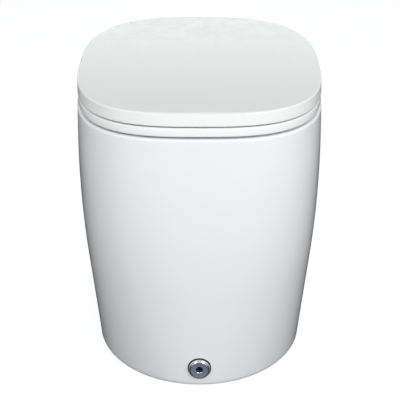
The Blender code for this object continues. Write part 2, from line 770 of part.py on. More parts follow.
def make_trapway(materials):
    """The bent tube from the bowl's sump over the weir to the spigot above the floor seal."""
    route = trap_route()
    trapway = rod_along(
        "ceramic_trapway", route[1:], TRAP_BORE_RADIUS + TRAP_WALL, TRAP_SIDES, materials["glaze"]
    )
    cut(
        trapway,
        loft("cut_bowl_outside", bowl_rings(WALL + GAP, 0.0)),
        trap_bore_cutter("cut_trapway_bore"),
    )
    return trapway


def trap_bore_cutter(name):
    """The trapway's bore, run on below its lower end."""
    route = trap_route()
    below = route[-1] - np.array((0.0, 0.0, OUTLET_Z + OVERRUN))
    return rod_along(name, np.vstack((route, below)), TRAP_BORE_RADIUS, TRAP_SIDES)


def well_outline(inset):
    """The well's outline, moved in by the inset."""
    return rounded_outline(
        WELL_HALF_WIDTH - inset, WELL_FRONT_Y + inset, WELL_REAR_Y - inset, WELL_CORNER
    )


def side_name(side):
    """Left is -X, seen by someone who faces the front from outside."""
    return "left" if side < 0 else "right"


def straight_cutter(name, start, end, radius, sides=ROUND_SIDES):
    """A round rod between two points."""
    start = Vector(start)
    direction = Vector(end) - start
    profile = ((radius, 0.0), (radius, direction.length))
    return solid_round(name, profile, start, direction.normalized(), None, sides)


def arch_cutter():
    """The opening low in the rear of the skirt."""
    outline = rounded_outline(ARCH_HALF_WIDTH, -ARCH_HEIGHT, ARCH_HEIGHT, ARCH_CORNER)
    rings = []
    for y in (max(REAR_Y, FOOT_REAR_Y) + OVERRUN, ARCH_FRONT_Y):
        rings.append(np.array([(x, y, z) for x, z in outline]))
    return loft("cut_rear_arch", rings)


def rim_pipe_cutter():
    """The rim's water inlet, through the bowl's rear wall."""
    rear = bowl_rear_y(MANIFOLD_Z)
    start = (0.0, rear - OVERRUN, MANIFOLD_Z)
    end = (0.0, rear + WALL + OVERRUN, MANIFOLD_Z)
    return straight_cutter("cut_rim_inlet", start, end, RIM_PIPE_RADIUS + GAP)


def jet_pipe_cutter():
    """The jet's water inlet, through the bowl's side."""
    route = jet_route()
    ahead = route[-1] + (route[-1] - route[-2]) * OVERRUN / np.linalg.norm(route[-1] - route[-2])
    last_run = np.vstack((route[-JET_CUT_POINTS:], ahead))
    return rod_along("cut_jet_inlet", last_run, JET_PIPE_RADIUS + 3 * GAP, PIPE_SIDES)


def make_service_tray(materials):
    """The moulded tray that hangs in the deck's well and carries the flushing unit."""
    flange = well_outline(-LEDGE_WIDTH + RUNNING_GAP)
    rim = prism("service_tray", flange, LEDGE_Z + GAP, FLANGE_TOP_Z, materials["moulding"])
    outer = prism("add_tray_box", well_outline(RUNNING_GAP), TRAY_LOW_Z, FLANGE_TOP_Z - GAP)
    inside = well_outline(RUNNING_GAP + TRAY_WALL)
    inner = prism("cut_tray_box", inside, TRAY_FLOOR_Z, FLANGE_TOP_Z + OVERRUN)
    join(rim, outer)
    cut(rim, inner)
    jet_low = (JET_X, MANIFOLD_Y, TRAY_LOW_Z - OVERRUN)
    jet_high = (JET_X, MANIFOLD_Y, TRAY_FLOOR_Z + OVERRUN)
    inlet_low = (INLET_X, MANIFOLD_Y, TRAY_LOW_Z - OVERRUN)
    inlet_high = (INLET_X, MANIFOLD_Y, TRAY_FLOOR_Z + OVERRUN)
    pipe_low = (0.0, WELL_FRONT_Y - OVERRUN, MANIFOLD_Z)
    pipe_high = (0.0, WELL_FRONT_Y + OVERRUN, MANIFOLD_Z)
    cable_x, cable_y = cable_entry()
    cable_low = (cable_x, cable_y, TRAY_LOW_Z - OVERRUN)
    cable_high = (cable_x, cable_y, TRAY_FLOOR_Z + OVERRUN)
    cut(
        rim,
        straight_cutter("cut_tray_jet", jet_low, jet_high, JET_PIPE_RADIUS + GAP),
        straight_cutter("cut_tray_inlet", inlet_low, inlet_high, INLET_RADIUS + GAP),
        straight_cutter("cut_tray_rim_pipe", pipe_low, pipe_high, RIM_PIPE_RADIUS + GAP),
        straight_cutter("cut_tray_cable", cable_low, cable_high, CABLE_RADIUS + GAP, SMALL_SIDES),
    )
    for number, (x, y) in enumerate(screw_places(), 1):
        low = (x, y, LEDGE_Z - OVERRUN)
        high = (x, y, FLANGE_TOP_Z + OVERRUN)
        hole = COVER_SCREW_RADIUS + GAP
        cut(rim, straight_cutter(f"cut_tray_screw_{number}", low, high, hole, SMALL_SIDES))
    return rim


def screw_places():
    """The four screws of the cover, near its corners."""
    x = WELL_HALF_WIDTH + LEDGE_WIDTH - COVER_SCREW_INSET
    front = WELL_FRONT_Y + WELL_CORNER
    rear = WELL_REAR_Y - WELL_CORNER
    return ((-x, front), (x, front), (-x, rear), (x, rear))


def make_service_cover(materials):
    """The flat cover over the well, just under the deck's top, with its four screws."""
    low = FLANGE_TOP_Z + GAP
    high = low + COVER_THICKNESS
    cover = prism("service_cover", well_outline(-LEDGE_WIDTH + RUNNING_GAP), low, high, materials["lid"])
    sunk = high - COVER_SCREW_HEAD - GAP
    shank_hole = COVER_SCREW_RADIUS + GAP
    head_hole = COVER_SCREW_HEAD_RADIUS + GAP
    for number, (x, y) in enumerate(screw_places(), 1):
        shank_low = Vector((x, y, LEDGE_Z - COVER_SCREW_LENGTH))
        hole_low = shank_low - Vector((0.0, 0.0, GAP))
        above = (x, y, high + OVERRUN)
        cut(
            cover,
            straight_cutter(f"cut_cover_screw_{number}", shank_low, above, shank_hole, SMALL_SIDES),
            straight_cutter(f"cut_cover_head_{number}", (x, y, sunk), above, head_hole, SMALL_SIDES),
        )
        cut(
            bpy.data.objects["ceramic_body"],
            straight_cutter(f"cut_ledge_screw_{number}", hole_low, (x, y, high), shank_hole, SMALL_SIDES),
        )
        length = sunk + GAP - shank_low.z
        profile = (
            (COVER_SCREW_RADIUS, 0.0),
            (COVER_SCREW_RADIUS, length),
            (COVER_SCREW_HEAD_RADIUS, length),
            (COVER_SCREW_HEAD_RADIUS, length + COVER_SCREW_HEAD - GAP),
        )
        screw = f"cover_screw_{number}"
        solid_round(screw, profile, shank_low, (0, 0, 1), materials["steel"], SMALL_SIDES)
    return cover


def make_flush_valve(materials):
    """The manifold with its two solenoid valves, on a foot that stands on the tray's floor."""
    half = MANIFOLD_HALF_LENGTH
    start = Vector((-half, MANIFOLD_Y, MANIFOLD_Z))
    profile = ((MANIFOLD_RADIUS, 0.0), (MANIFOLD_RADIUS, 2 * half))
    body = solid_round("flush_manifold", profile, start, (1, 0, 0), materials["pipe"])
    foot_low = (-half / 2, MANIFOLD_Y - MANIFOLD_FOOT_HALF_WIDTH, TRAY_FLOOR_Z + GAP)
    foot_high = (half / 2, MANIFOLD_Y + MANIFOLD_FOOT_HALF_WIDTH, MANIFOLD_Z)
    join(body, block("add_manifold_foot", foot_low, foot_high))
    top = MANIFOLD_Z + SOLENOID_BOSS_HEIGHT
    for side in (-1, 1):
        base = Vector((side * SOLENOID_X, MANIFOLD_Y, MANIFOLD_Z))
        boss_top = (base.x, base.y, top)
        boss = f"add_boss_{side_name(side)}"
        join(body, straight_cutter(boss, base, boss_top, SOLENOID_BOSS_RADIUS))
        coil_base = Vector((base.x, base.y, top + GAP))
        cap = SOLENOID_RADIUS / 2
        profile = (
            (SOLENOID_RADIUS, 0.0),
            (SOLENOID_RADIUS, SOLENOID_HEIGHT - cap / 2),
            (cap, SOLENOID_HEIGHT - cap / 2),
            (cap, SOLENOID_HEIGHT),
        )
        name = "rim_solenoid" if side < 0 else "jet_solenoid"
        solid_round(name, profile, coil_base, (0, 0, 1), materials["copper"])
    return body


def make_pipes(materials):
    """The rim pipe, the jet pipe and the brass inlet with its nut."""
    front = bowl_rear_y(MANIFOLD_Z) + WALL / 3
    start = Vector((0.0, front, MANIFOLD_Z))
    length = MANIFOLD_Y - MANIFOLD_RADIUS - GAP - front
    bore = RIM_PIPE_RADIUS - PIPE_WALL
    profile = ((RIM_PIPE_RADIUS, 0.0), (RIM_PIPE_RADIUS, length), (bore, length), (bore, 0.0))
    hollow_round("rim_pipe", profile, start, (0, 1, 0), materials["pipe"])
    jet_bore = JET_PIPE_RADIUS - PIPE_WALL
    pipe_along("jet_pipe", jet_route(), JET_PIPE_RADIUS, jet_bore, PIPE_SIDES, materials["pipe"])
    pipe_along(
        "water_inlet", inlet_route(), INLET_RADIUS, INLET_BORE_RADIUS, SMALL_SIDES, materials["brass"]
    )
    nut_top = TRAY_LOW_Z - GAP
    nut_low = Vector((INLET_X, MANIFOLD_Y, nut_top - INLET_NUT_HEIGHT))
    inner = INLET_RADIUS + GAP
    profile = (
        (INLET_NUT_RADIUS, 0.0),
        (INLET_NUT_RADIUS, INLET_NUT_HEIGHT),
        (inner, INLET_NUT_HEIGHT),
        (inner, 0.0),
    )
    rings = turned(profile, nut_low, (0, 0, 1), HEXAGON_STEPS)
    for ring in rings[:2]:
        hexagon_points(ring, nut_low, INLET_NUT_RADIUS)
    closed_ring_body("inlet_nut", rings, materials["brass"], nut_low)


def hexagon_points(ring, centre, radius):
    """Moves a level ring's points in onto the hexagon whose corners lie on the radius."""
    offset = ring[:, :2] - np.array(centre)[:2]
    angle = np.arctan2(offset[:, 1], offset[:, 0])
    sector = math.pi / 3
    within = (angle % sector) - sector / 2
    distance = radius * math.cos(sector / 2) / np.cos(within)
    ring[:, :2] = np.array(centre)[:2] + np.column_stack((np.cos(angle), np.sin(angle))) * distance[:, None]


def make_boxes(materials):
    """The control box and the battery box, upright at the two ends of the tray."""
    outer = WELL_HALF_WIDTH - RUNNING_GAP - TRAY_WALL - BOX_SIDE_GAP
    middle_y = (WELL_FRONT_Y + WELL_REAR_Y) / 2
    for side, name, finish in ((1, "control_box", "dark"), (-1, "battery_box", "moulding")):
        centre_x = side * (outer - BOX_WIDTH / 2)
        outline = []
        for x, y in rounded_outline(BOX_WIDTH / 2, -BOX_LENGTH / 2, BOX_LENGTH / 2, BOX_EDGE, 2):
            outline.append((centre_x + x, middle_y + y))
        low = TRAY_FLOOR_Z + GAP
        prism(name, outline, low, low + BOX_HEIGHT, materials[finish], Vector((centre_x, middle_y, low)))


def cable_entry():
    """Where the button's cable comes up through the tray, under the control box."""
    x = WELL_HALF_WIDTH - RUNNING_GAP - TRAY_WALL - BOX_SIDE_GAP - BOX_WIDTH / 2
    return x, (WELL_FRONT_Y + WELL_REAR_Y) / 2


def skirt_inside(share, inset, z):
    """A point inside the skirt's right side, from near the front (0) to beside the tray (1)."""
    ring = body_ring(z, WALL + inset, 4 * BODY_STEPS)
    first = -math.pi * CABLE_FIRST_TURN_SHARE
    last = math.pi * CABLE_LAST_TURN_SHARE
    angle = first + (last - first) * share
    index = int(round(angle / (2 * math.pi) * len(ring))) % len(ring)
    return ring[index]


def cable_route():
    """From the switch's back, round the skirt's inside at a low level, and up to the tray."""
    place, normal = button_frame()
    start = np.array(place - normal * (BARREL_LENGTH + SWITCH_LENGTH + 3 * GAP))
    inward = np.array(-normal)
    points = [start, start + inward * CABLE_SLACK / 4, start + inward * CABLE_SLACK / 2]
    bow_start = points[-1]
    across = skirt_inside(CABLE_WALL_SHARES[0], CABLE_WALL_GAP, CABLE_LIFT) - bow_start
    for share in CABLE_BOW_SHARES:
        points.append(bow_start + across * share + inward * CABLE_SLACK * math.sin(math.pi * share))
    for share in CABLE_WALL_SHARES:
        points.append(skirt_inside(share, CABLE_WALL_GAP, CABLE_LIFT))
    x, y = cable_entry()
    last = points[-1]
    top = np.array((x, y, TRAY_FLOOR_Z))
    for share in CABLE_RISE_SHARES:
        aside = np.array(((1 - share) ** 3, (1 - share) ** 3, 1 - share))
        points.append(top + (last - top) * aside)
    points.append(np.array((x, y, TRAY_LOW_Z - OVERRUN)))
    points.append(top)
    return smooth_route(points, CABLE_STEPS)


def make_cable(materials):
    """The switch cable, held by three clips on the skirt's inside."""
    route = cable_route()
    rod_along("button_cable", route, CABLE_RADIUS, CABLE_SIDES, materials["dark"])
    low = CABLE_LIFT - CLIP_HEIGHT
    high = CABLE_LIFT + CLIP_HEIGHT
    skirt_space = loft("keep_inside_skirt", [body_ring(z, WALL + 2 * GAP) for z in (low, high)])
    for number, share in enumerate(CLIP_PLACE_SHARES, 1):
        middle = skirt_inside(share, CABLE_WALL_GAP, CABLE_LIFT)
        ahead = skirt_inside(share + CLIP_AIM_SHARE, CABLE_WALL_GAP, CABLE_LIFT)
        behind = skirt_inside(share - CLIP_AIM_SHARE, CABLE_WALL_GAP, CABLE_LIFT)
        along = Vector(ahead - behind).normalized()
        outward = along.cross(Vector((0.0, 0.0, 1.0)))
        clip = clip_body(f"cable_clip_{number}", Vector(middle), along, outward, materials["moulding"])
        nearest = int(np.argmin(np.linalg.norm(route - middle, axis=1)))
        held = route[nearest - 2 : nearest + 3]
        apply_boolean(clip, skirt_space, "INTERSECT")
        cut(clip, rod_along(f"cut_clip_{number}", held, CABLE_RADIUS + 2 * GAP, CABLE_SIDES))


def clip_body(name, middle, along, outward, material):
    """A small block round the cable, which the skirt's inside trims at its back."""
    back = CABLE_WALL_GAP + RUNNING_GAP
    up = Vector((0.0, 0.0, 1.0))
    rings = []
    for end in (-1, 1):
        centre = middle + along * (end * CLIP_LENGTH / 2)
        corners = []
        for reach, rise in ((back, -1), (back, 1), (back - CLIP_DEPTH, 1), (back - CLIP_DEPTH, -1)):
            corners.append(centre + outward * reach + up * (rise * CLIP_HEIGHT / 2))
        rings.append(np.array(corners))
    return loft(name, rings, material, middle)


def make_outlet_seal(materials):
    """The rubber ring between the ceramic spigot and the floor drain."""
    bore = TRAP_BORE_RADIUS + RUNNING_GAP
    height = OUTLET_Z - GAP - SEAL_FOOT
    start = Vector((0.0, OUTLET_Y, SEAL_FOOT))
    profile = (
        (SEAL_RADIUS, 0.0),
        (SEAL_RADIUS, height / 2),
        (SEAL_RADIUS - height / 2, height),
        (bore, height),
        (bore, 0.0),
    )
    hollow_round("outlet_seal", profile, start, (0, 0, 1), materials["seal"], BEZEL_SIDES)


def seat_outline_ring(z, inset):
    """The seat's outer ring at a height."""
    return rim_ring(z, SEAT_INSET + inset)


def seat_opening_ring(z, widen):
    """The seat's inner ring at a height, widened at its edges."""
    return plan_ring(
        SEAT_OPENING_HALF_WIDTH + widen,
        SEAT_OPENING_WIDEST_Y,
        SEAT_OPENING_FRONT_REACH + widen,
        SEAT_OPENING_REAR_REACH + widen,
        (SEAT_OPENING_POWER, SEAT_OPENING_POWER),
        z,
    )


def hinge_slot_range():
    """The slot's inner and outer X in the seat, round the bracket and the lid's knuckle."""
    return ARM_X - RUNNING_GAP - GAP, LID_KNUCKLE_X + LID_KNUCKLE_WIDTH + RUNNING_GAP


def make_seat(materials, axis):
    """The flat seat with its opening, two hinge knuckles and a slot for each bracket."""
    edge = SEAT_EDGE
    inner = SEAT_OPENING_EDGE
    rings = [
        seat_outline_ring(SEAT_LOW_Z, edge),
        seat_outline_ring(SEAT_LOW_Z + edge * SEAT_EDGE_SHARE, edge * SEAT_EDGE_SHARE),
        seat_outline_ring(SEAT_LOW_Z + edge, 0.0),
        seat_outline_ring(SEAT_TOP_Z - edge, 0.0),
        seat_outline_ring(SEAT_TOP_Z - edge * SEAT_EDGE_SHARE, edge * SEAT_EDGE_SHARE),
        seat_outline_ring(SEAT_TOP_Z, edge),
        seat_opening_ring(SEAT_TOP_Z, inner),
        seat_opening_ring(SEAT_TOP_Z - inner * OPENING_EDGE_SHARE, inner * SEAT_EDGE_SHARE),
        seat_opening_ring(SEAT_TOP_Z - inner, 0.0),
        seat_opening_ring(SEAT_LOW_Z, 0.0),
    ]
    seat = hang(closed_ring_body("seat_plate", rings, materials["lid"], HINGE), axis)
    for side in (-1, 1):
        name = side_name(side)
        start_x = side * SEAT_KNUCKLE_X
        join(seat, knuckle(f"add_seat_knuckle_{name}", start_x, side * SEAT_KNUCKLE_WIDTH, -1))
    slot_low, slot_high = hinge_slot_range()
    for side in (-1, 1):
        name = side_name(side)
        low_x, high_x = sorted((side * slot_low, side * slot_high))
        low = (low_x, BRACKET_FRONT_Y - SLOT_END_GAP, SEAT_LOW_Z - OVERRUN)
        high = (high_x, REAR_Y + OVERRUN, HINGE_Z + KNUCKLE_RADIUS + OVERRUN)
        cut(seat, block(f"cut_seat_slot_{name}", low, high), pin_cutter(f"cut_seat_pin_{name}", side))
    reach = SEAT_KNUCKLE_X - RUNNING_GAP
    start = (-reach, HINGE_Y, HINGE_Z)
    end = (reach, HINGE_Y, HINGE_Z)
    cut(seat, straight_cutter("cut_damper_seat", start, end, DAMPER_RADIUS + GAP, BEZEL_SIDES))
    return seat


def knuckle(name, start_x, width, down):
    """A hinge ear: a ring round the hinge line and a web down to the seat or up to the lid."""
    radius = KNUCKLE_RADIUS
    outline = []
    if down < 0:
        web_z = SEAT_TOP_Z - SEAT_EDGE
        first = 0.0
    else:
        web_z = LID_CEILING_Z + LID_WALL / 2
        first = math.pi
    for k in range(KNUCKLE_STEPS + 1):
        turn = first + math.pi * k / KNUCKLE_STEPS
        outline.append((HINGE_Y + radius * math.cos(turn), HINGE_Z + radius * math.sin(turn)))
    end = -1 if down < 0 else 1
    outline.append((HINGE_Y + end * radius, web_z))
    outline.append((HINGE_Y - end * radius, web_z))
    low_x, high_x = sorted((start_x, start_x + width))
    return side_plate(name, outline, low_x, high_x)


def pin_cutter(name, side):
    """The bore for one hinge pin."""
    start = (side * (SEAT_KNUCKLE_X - RUNNING_GAP), HINGE_Y, HINGE_Z)
    end = (side * (LID_KNUCKLE_X + LID_KNUCKLE_WIDTH + RUNNING_GAP), HINGE_Y, HINGE_Z)
    return straight_cutter(name, start, end, BORE_RADIUS)


def grip_share(ring):
    """1 at the middle of the front, falling with the square of X to 0 at the chamfer's ends."""
    return np.clip(1 - (ring[:, 0] / LID_GRIP_HALF_WIDTH) ** 2, 0.0, 1.0)


def lid_top_ring():
    """The flat top's edge, drawn back along the front where the fingers take hold."""
    ring = rim_ring(LID_TOP_Z, LID_INSET + LID_TOP_EDGE)
    share = grip_share(ring)
    ring[:, 1] += np.where(ring[:, 1] < RIM_WIDEST_Y, LID_GRIP_REACH * share, 0.0)
    return ring


def lid_grip_ring():
    """The outer edge of the finger chamfer, lower than the top along the front."""
    edge = LID_TOP_EDGE
    ring = rim_ring(LID_TOP_Z - edge * LID_CREASE_SHARE, LID_INSET + edge * LID_CREASE_INSET_SHARE)
    share = grip_share(ring)
    ring[:, 2] -= np.where(ring[:, 1] < RIM_WIDEST_Y, LID_GRIP_DROP * share, 0.0)
    return ring


def make_lid(materials, axis):
    """The full-length lid: a shell open underneath, with hinge ears and bumper bosses."""
    edge = LID_TOP_EDGE
    lower = LID_LOWER_EDGE
    rings = [
        rim_ring(LID_LOW_Z, LID_INSET + lower),
        rim_ring(LID_LOW_Z + lower * LID_LOWER_EDGE_SHARE, LID_INSET + lower * LID_LOWER_EDGE_SHARE),
        rim_ring(LID_LOW_Z + lower, LID_INSET),
        rim_ring(LID_TOP_Z - edge, LID_INSET),
        rim_ring(LID_TOP_Z - edge * LID_SHOULDER_SHARE, LID_INSET + edge * LID_SHOULDER_INSET_SHARE),
        lid_grip_ring(),
        lid_top_ring(),
    ]
    lid = hang(loft("lid_shell", rings, materials["lid"], HINGE), axis)
    inset = LID_INSET + LID_WALL
    hollow = [rim_ring(LID_LOW_Z - OVERRUN, inset), rim_ring(LID_CEILING_Z, inset)]
    rear_low = (-LID_REAR_CUT_HALF_WIDTH, REAR_Y - LID_REAR_CUT_DEPTH, LID_LOW_Z - OVERRUN)
    rear_high = (LID_REAR_CUT_HALF_WIDTH, REAR_Y + OVERRUN, LID_CEILING_Z)
    cut(lid, loft("cut_lid_hollow", hollow), block("cut_lid_rear", rear_low, rear_high))
    for side in (-1, 1):
        name = side_name(side)
        start_x = side * LID_KNUCKLE_X
        join(lid, knuckle(f"add_lid_knuckle_{name}", start_x, side * LID_KNUCKLE_WIDTH, 1))
        cut(lid, pin_cutter(f"cut_lid_pin_{name}", side))
    join(lid, lid_saddle())
    for number, (x, y) in enumerate(bumper_places(), 1):
        low = (x, y, LID_LOW_Z + LID_BUMPER_HEIGHT - LID_GROOVE + 2 * GAP)
        high = (x, y, LID_CEILING_Z + LID_WALL / 2)
        join(lid, straight_cutter(f"add_lid_boss_{number}", low, high, LID_BOSS_RADIUS, SMALL_SIDES))
    return lid


def lid_saddle():
    """The rib that the right damper hangs from."""
    middle = (DAMPER_X + SEAT_KNUCKLE_X) / 2
    low = (middle - SADDLE_WIDTH / 2, HINGE_Y - DAMPER_RADIUS / 2, HINGE_Z + DAMPER_RADIUS + GAP)
    high = (middle + SADDLE_WIDTH / 2, HINGE_Y + DAMPER_RADIUS / 2, LID_CEILING_Z + LID_WALL / 2)
    return block("add_damper_saddle", low, high)


def bumper_places():
    """Two bumpers near the front and two near the rear."""
    return (
        (-BUMPER_X, BUMPER_FRONT_Y),
        (BUMPER_X, BUMPER_FRONT_Y),
        (-BUMPER_X, BUMPER_REAR_Y),
        (BUMPER_X, BUMPER_REAR_Y),
    )


def make_bumpers(materials, axis):
    """Rubber pads under the seat, and under the lid's bosses."""
    for number, (x, y) in enumerate(bumper_places(), 1):
        low = Vector((x, y, DECK_Z + GAP))
        height = SEAT_GROOVE - 2 * GAP
        profile = ((SEAT_BUMPER_RADIUS, 0.0), (SEAT_BUMPER_RADIUS, height))
        pad = f"seat_bumper_{number}"
        hang(solid_round(pad, profile, low, (0, 0, 1), materials["clear_rubber"], SMALL_SIDES), axis)
        low = Vector((x, y, SEAT_TOP_Z + GAP))
        profile = ((LID_BUMPER_RADIUS, 0.0), (LID_BUMPER_RADIUS, LID_BUMPER_HEIGHT))
        pad = f"lid_bumper_{number}"
        hang(solid_round(pad, profile, low, (0, 0, 1), materials["clear_rubber"], SMALL_SIDES), axis)


def hang(item, carrier):
    """Parents a piece to its carrier and keeps its place."""
    item.location = item.location - carrier.location
    item.parent = carrier
    return item


def make_hinges(materials, axis):
    """Brackets, bolts, nuts, pins and dampers of the two hinges."""
    for side in (-1, 1):
        name = side_name(side)
        make_bracket(name, side, materials)
        pin_start = Vector((side * (SEAT_KNUCKLE_X - RUNNING_GAP), HINGE_Y, HINGE_Z))
        length = LID_KNUCKLE_X + LID_KNUCKLE_WIDTH + GAP - pin_start.x * side
        profile = (
            (PIN_RADIUS, 0.0),
            (PIN_RADIUS, length),
            (PIN_HEAD_RADIUS, length),
            (PIN_HEAD_RADIUS, length + PIN_HEAD),
        )
        solid_round(f"hinge_pin_{name}", profile, pin_start, (side, 0, 0), materials["steel"])
        end = SEAT_KNUCKLE_X - RUNNING_GAP - GAP
        damper_start = Vector((side * DAMPER_X, HINGE_Y, HINGE_Z))
        bevel = DAMPER_RADIUS / 8
        profile = (
            (DAMPER_RADIUS - bevel, 0.0),
            (DAMPER_RADIUS, bevel),
            (DAMPER_RADIUS, end - DAMPER_X - bevel),
            (DAMPER_RADIUS - bevel, end - DAMPER_X),
        )
        hang(solid_round(f"damper_{name}", profile, damper_start, (side, 0, 0), materials["dark"]), axis)
        make_bolt(name, side, materials)


def make_bracket(name, side, materials):
    """A foot plate on the deck, and a post through the seat's slot with an arm to the hinge."""
    low_x, high_x = sorted((side * (ARM_X - GAP), side * (ARM_X - GAP + BRACKET_WIDTH)))
    low = (low_x, BRACKET_FRONT_Y, DECK_Z + GAP)
    high = (high_x, BRACKET_REAR_Y, DECK_Z + GAP + BRACKET_PLATE)
    bracket = block(f"hinge_bracket_{name}", low, high, materials["chrome"])
    radius = KNUCKLE_RADIUS
    post_front = BRACKET_REAR_Y - POST_DEPTH
    arm_low = HINGE_Z - radius * ARM_LOW_SHARE
    outline = [(post_front, DECK_Z + BRACKET_PLATE / 2), (BRACKET_REAR_Y, DECK_Z + BRACKET_PLATE / 2)]
    outline.append((BRACKET_REAR_Y, arm_low))
    first = -math.pi * ARM_TURN_SHARE
    for k in range(KNUCKLE_STEPS + 1):
        turn = first + (math.pi / 2 - first) * k / KNUCKLE_STEPS
        outline.append((HINGE_Y + radius * math.cos(turn), HINGE_Z + radius * math.sin(turn)))
    outline.append((post_front, HINGE_Z + radius))
    low_x, high_x = sorted((side * ARM_X, side * (ARM_X + ARM_WIDTH)))
    join(bracket, side_plate(f"add_arm_{name}", outline, low_x, high_x))
    start = (side * BOLT_X, BOLT_Y, DECK_Z - OVERRUN)
    end = (side * BOLT_X, BOLT_Y, DECK_Z + OVERRUN)
    cut(bracket, pin_cutter(f"cut_arm_pin_{name}", side))
    cut(bracket, straight_cutter(f"cut_bracket_bolt_{name}", start, end, BOLT_RADIUS + GAP, SMALL_SIDES))
    return bracket


def make_bolt(name, side, materials):
    """The bolt through the bracket and the deck, and its nut underneath."""
    plate_top = DECK_Z + GAP + BRACKET_PLATE
    low = Vector((side * BOLT_X, BOLT_Y, DECK_LOW_Z - BOLT_BELOW_DECK))
    length = plate_top + GAP - low.z
    bevel = BOLT_HEAD / 4
    profile = (
        (BOLT_RADIUS, 0.0),
        (BOLT_RADIUS, length),
        (BOLT_HEAD_RADIUS, length),
        (BOLT_HEAD_RADIUS, length + BOLT_HEAD - bevel),
        (BOLT_HEAD_RADIUS - bevel, length + BOLT_HEAD),
    )
    solid_round(f"hinge_bolt_{name}", profile, low, (0, 0, 1), materials["steel"], SMALL_SIDES)
    nut_low = Vector((side * BOLT_X, BOLT_Y, DECK_LOW_Z - GAP - NUT_HEIGHT))
    bore = BOLT_RADIUS + GAP
    profile = ((NUT_RADIUS, 0.0), (NUT_RADIUS, NUT_HEIGHT), (bore, NUT_HEIGHT), (bore, 0.0))
    rings = turned(profile, nut_low, (0, 0, 1), HEXAGON_STEPS)
    for ring in rings[:2]:
        hexagon_points(ring, nut_low, NUT_RADIUS)
    closed_ring_body(f"hinge_nut_{name}", rings, materials["steel"], nut_low)


def make_button(materials):
    """The foot button: bezel and barrel, gasket, nut, switch, spring, and the cap with its lens."""
    place, normal = button_frame()
    carrier = new_empty("button_axis", place, normal)
    cap_top = BEZEL_HEIGHT - CAP_BELOW_BEZEL
    cap_low = cap_top - CAP_THICKNESS
    bore = CAP_RADIUS + GAP
    ledge = cap_low - BUTTON_TRAVEL - GAP
    lip_bore = BARREL_BORE_RADIUS - LIP_WIDTH
    inward, upward = SHOULDER_MIDDLE_SHARES
    middle_radius = BEZEL_RADIUS + (BEZEL_SHOULDER_RADIUS - BEZEL_RADIUS) * inward
    middle_height = BEZEL_SIDE_HEIGHT + (BEZEL_SHOULDER_HEIGHT - BEZEL_SIDE_HEIGHT) * upward
    profile = (
        (BARREL_RADIUS, -BARREL_LENGTH),
        (BARREL_RADIUS, 0.0),
        (BEZEL_RADIUS, 0.0),
        (BEZEL_RADIUS, BEZEL_SIDE_HEIGHT),
        (middle_radius, middle_height),
        (BEZEL_SHOULDER_RADIUS, BEZEL_SHOULDER_HEIGHT),
        (bore, BEZEL_HEIGHT),
        (bore, ledge),
        (lip_bore, ledge),
        (lip_bore, 0.0),
        (BARREL_BORE_RADIUS, 0.0),
        (BARREL_BORE_RADIUS, -BARREL_LENGTH),
    )
    pieces = [local_ring("button_bezel", profile, materials["chrome"], carrier, BEZEL_SIDES)]

    inner = BARREL_RADIUS + GAP
    outer = BEZEL_RADIUS + GAP
    low = -GASKET_THICKNESS - GAP
    profile = ((outer, low), (outer, -GAP), (inner, -GAP), (inner, low))
    pieces.append(local_ring("button_gasket", profile, materials["rubber"], carrier, BEZEL_SIDES))

    nut_top = -WALL + NUT_FACE_DEPTH - GAP
    nut_low = nut_top - BUTTON_NUT_HEIGHT
    profile = ((BUTTON_NUT_RADIUS, nut_low), (BUTTON_NUT_RADIUS, nut_top), (inner, nut_top), (inner, nut_low))
    pieces.append(local_ring("button_nut", profile, materials["dark"], carrier, ROUND_SIDES))

    top = -BARREL_LENGTH - GAP
    stem_low = cap_low - STEM_LENGTH
    plunger_top = stem_low - BUTTON_TRAVEL - GAP
    profile = (
        (SWITCH_RADIUS, top - SWITCH_LENGTH),
        (SWITCH_RADIUS, top),
        (STEM_RADIUS, top),
        (STEM_RADIUS, plunger_top),
    )
    pieces.append(local_solid("button_switch", profile, materials["dark"], carrier))

    guide = BARREL_BORE_RADIUS - 2 * GAP
    guide_low = -GAP - STEM_LENGTH / 3
    hole_top = cap_top - CAP_DISH
    recess = LENS_RADIUS + GAP
    edge = CAP_THICKNESS / 8
    profile = (
        (STEM_RADIUS, stem_low),
        (STEM_RADIUS, guide_low),
        (guide, guide_low),
        (guide, -GAP),
        (lip_bore - GAP, -GAP),
        (lip_bore - GAP, cap_low),
        (CAP_RADIUS, cap_low),
        (CAP_RADIUS, cap_top - edge),
        (CAP_RADIUS - edge, cap_top),
        (recess + LENS_CHAMFER, hole_top),
        (recess, hole_top - LENS_CHAMFER),
        (recess, cap_top - LENS_RECESS),
    )
    pieces.append(local_solid("button_cap", profile, materials["satin"], carrier, BEZEL_SIDES))
    lens_low = cap_top - LENS_RECESS + GAP
    lens_edge = cap_top - LENS_SUNK
    profile = (
        (LENS_RADIUS, lens_low),
        (LENS_RADIUS, lens_edge),
        (LENS_RADIUS * LENS_EDGE_SHARE, lens_edge + LENS_DOME * LENS_EDGE_SHARE),
        (LENS_RADIUS * LENS_TOP_SHARE, lens_edge + LENS_DOME),
    )
    pieces.append(local_solid("button_lens", profile, materials["lens"], carrier))
    pieces.append(make_spring(carrier, top + GAP, guide_low - GAP, materials))
    return carrier


def local_rings(profile, sides):
    """Rings of a turned body about its own +Z axis."""
    angle = np.arange(sides) * 2 * math.pi / sides
    rings = []
    for radius, along in profile:
        rings.append(np.column_stack((radius * np.cos(angle), radius * np.sin(angle), np.full(sides, along))))
    return rings


def local_ring(name, profile, material, carrier, sides):
    """A turned ring whose object lies on its carrier's axis."""
    item = set_smooth(closed_ring_body(name, local_rings(profile, sides), material))
    item.parent = carrier
    return item


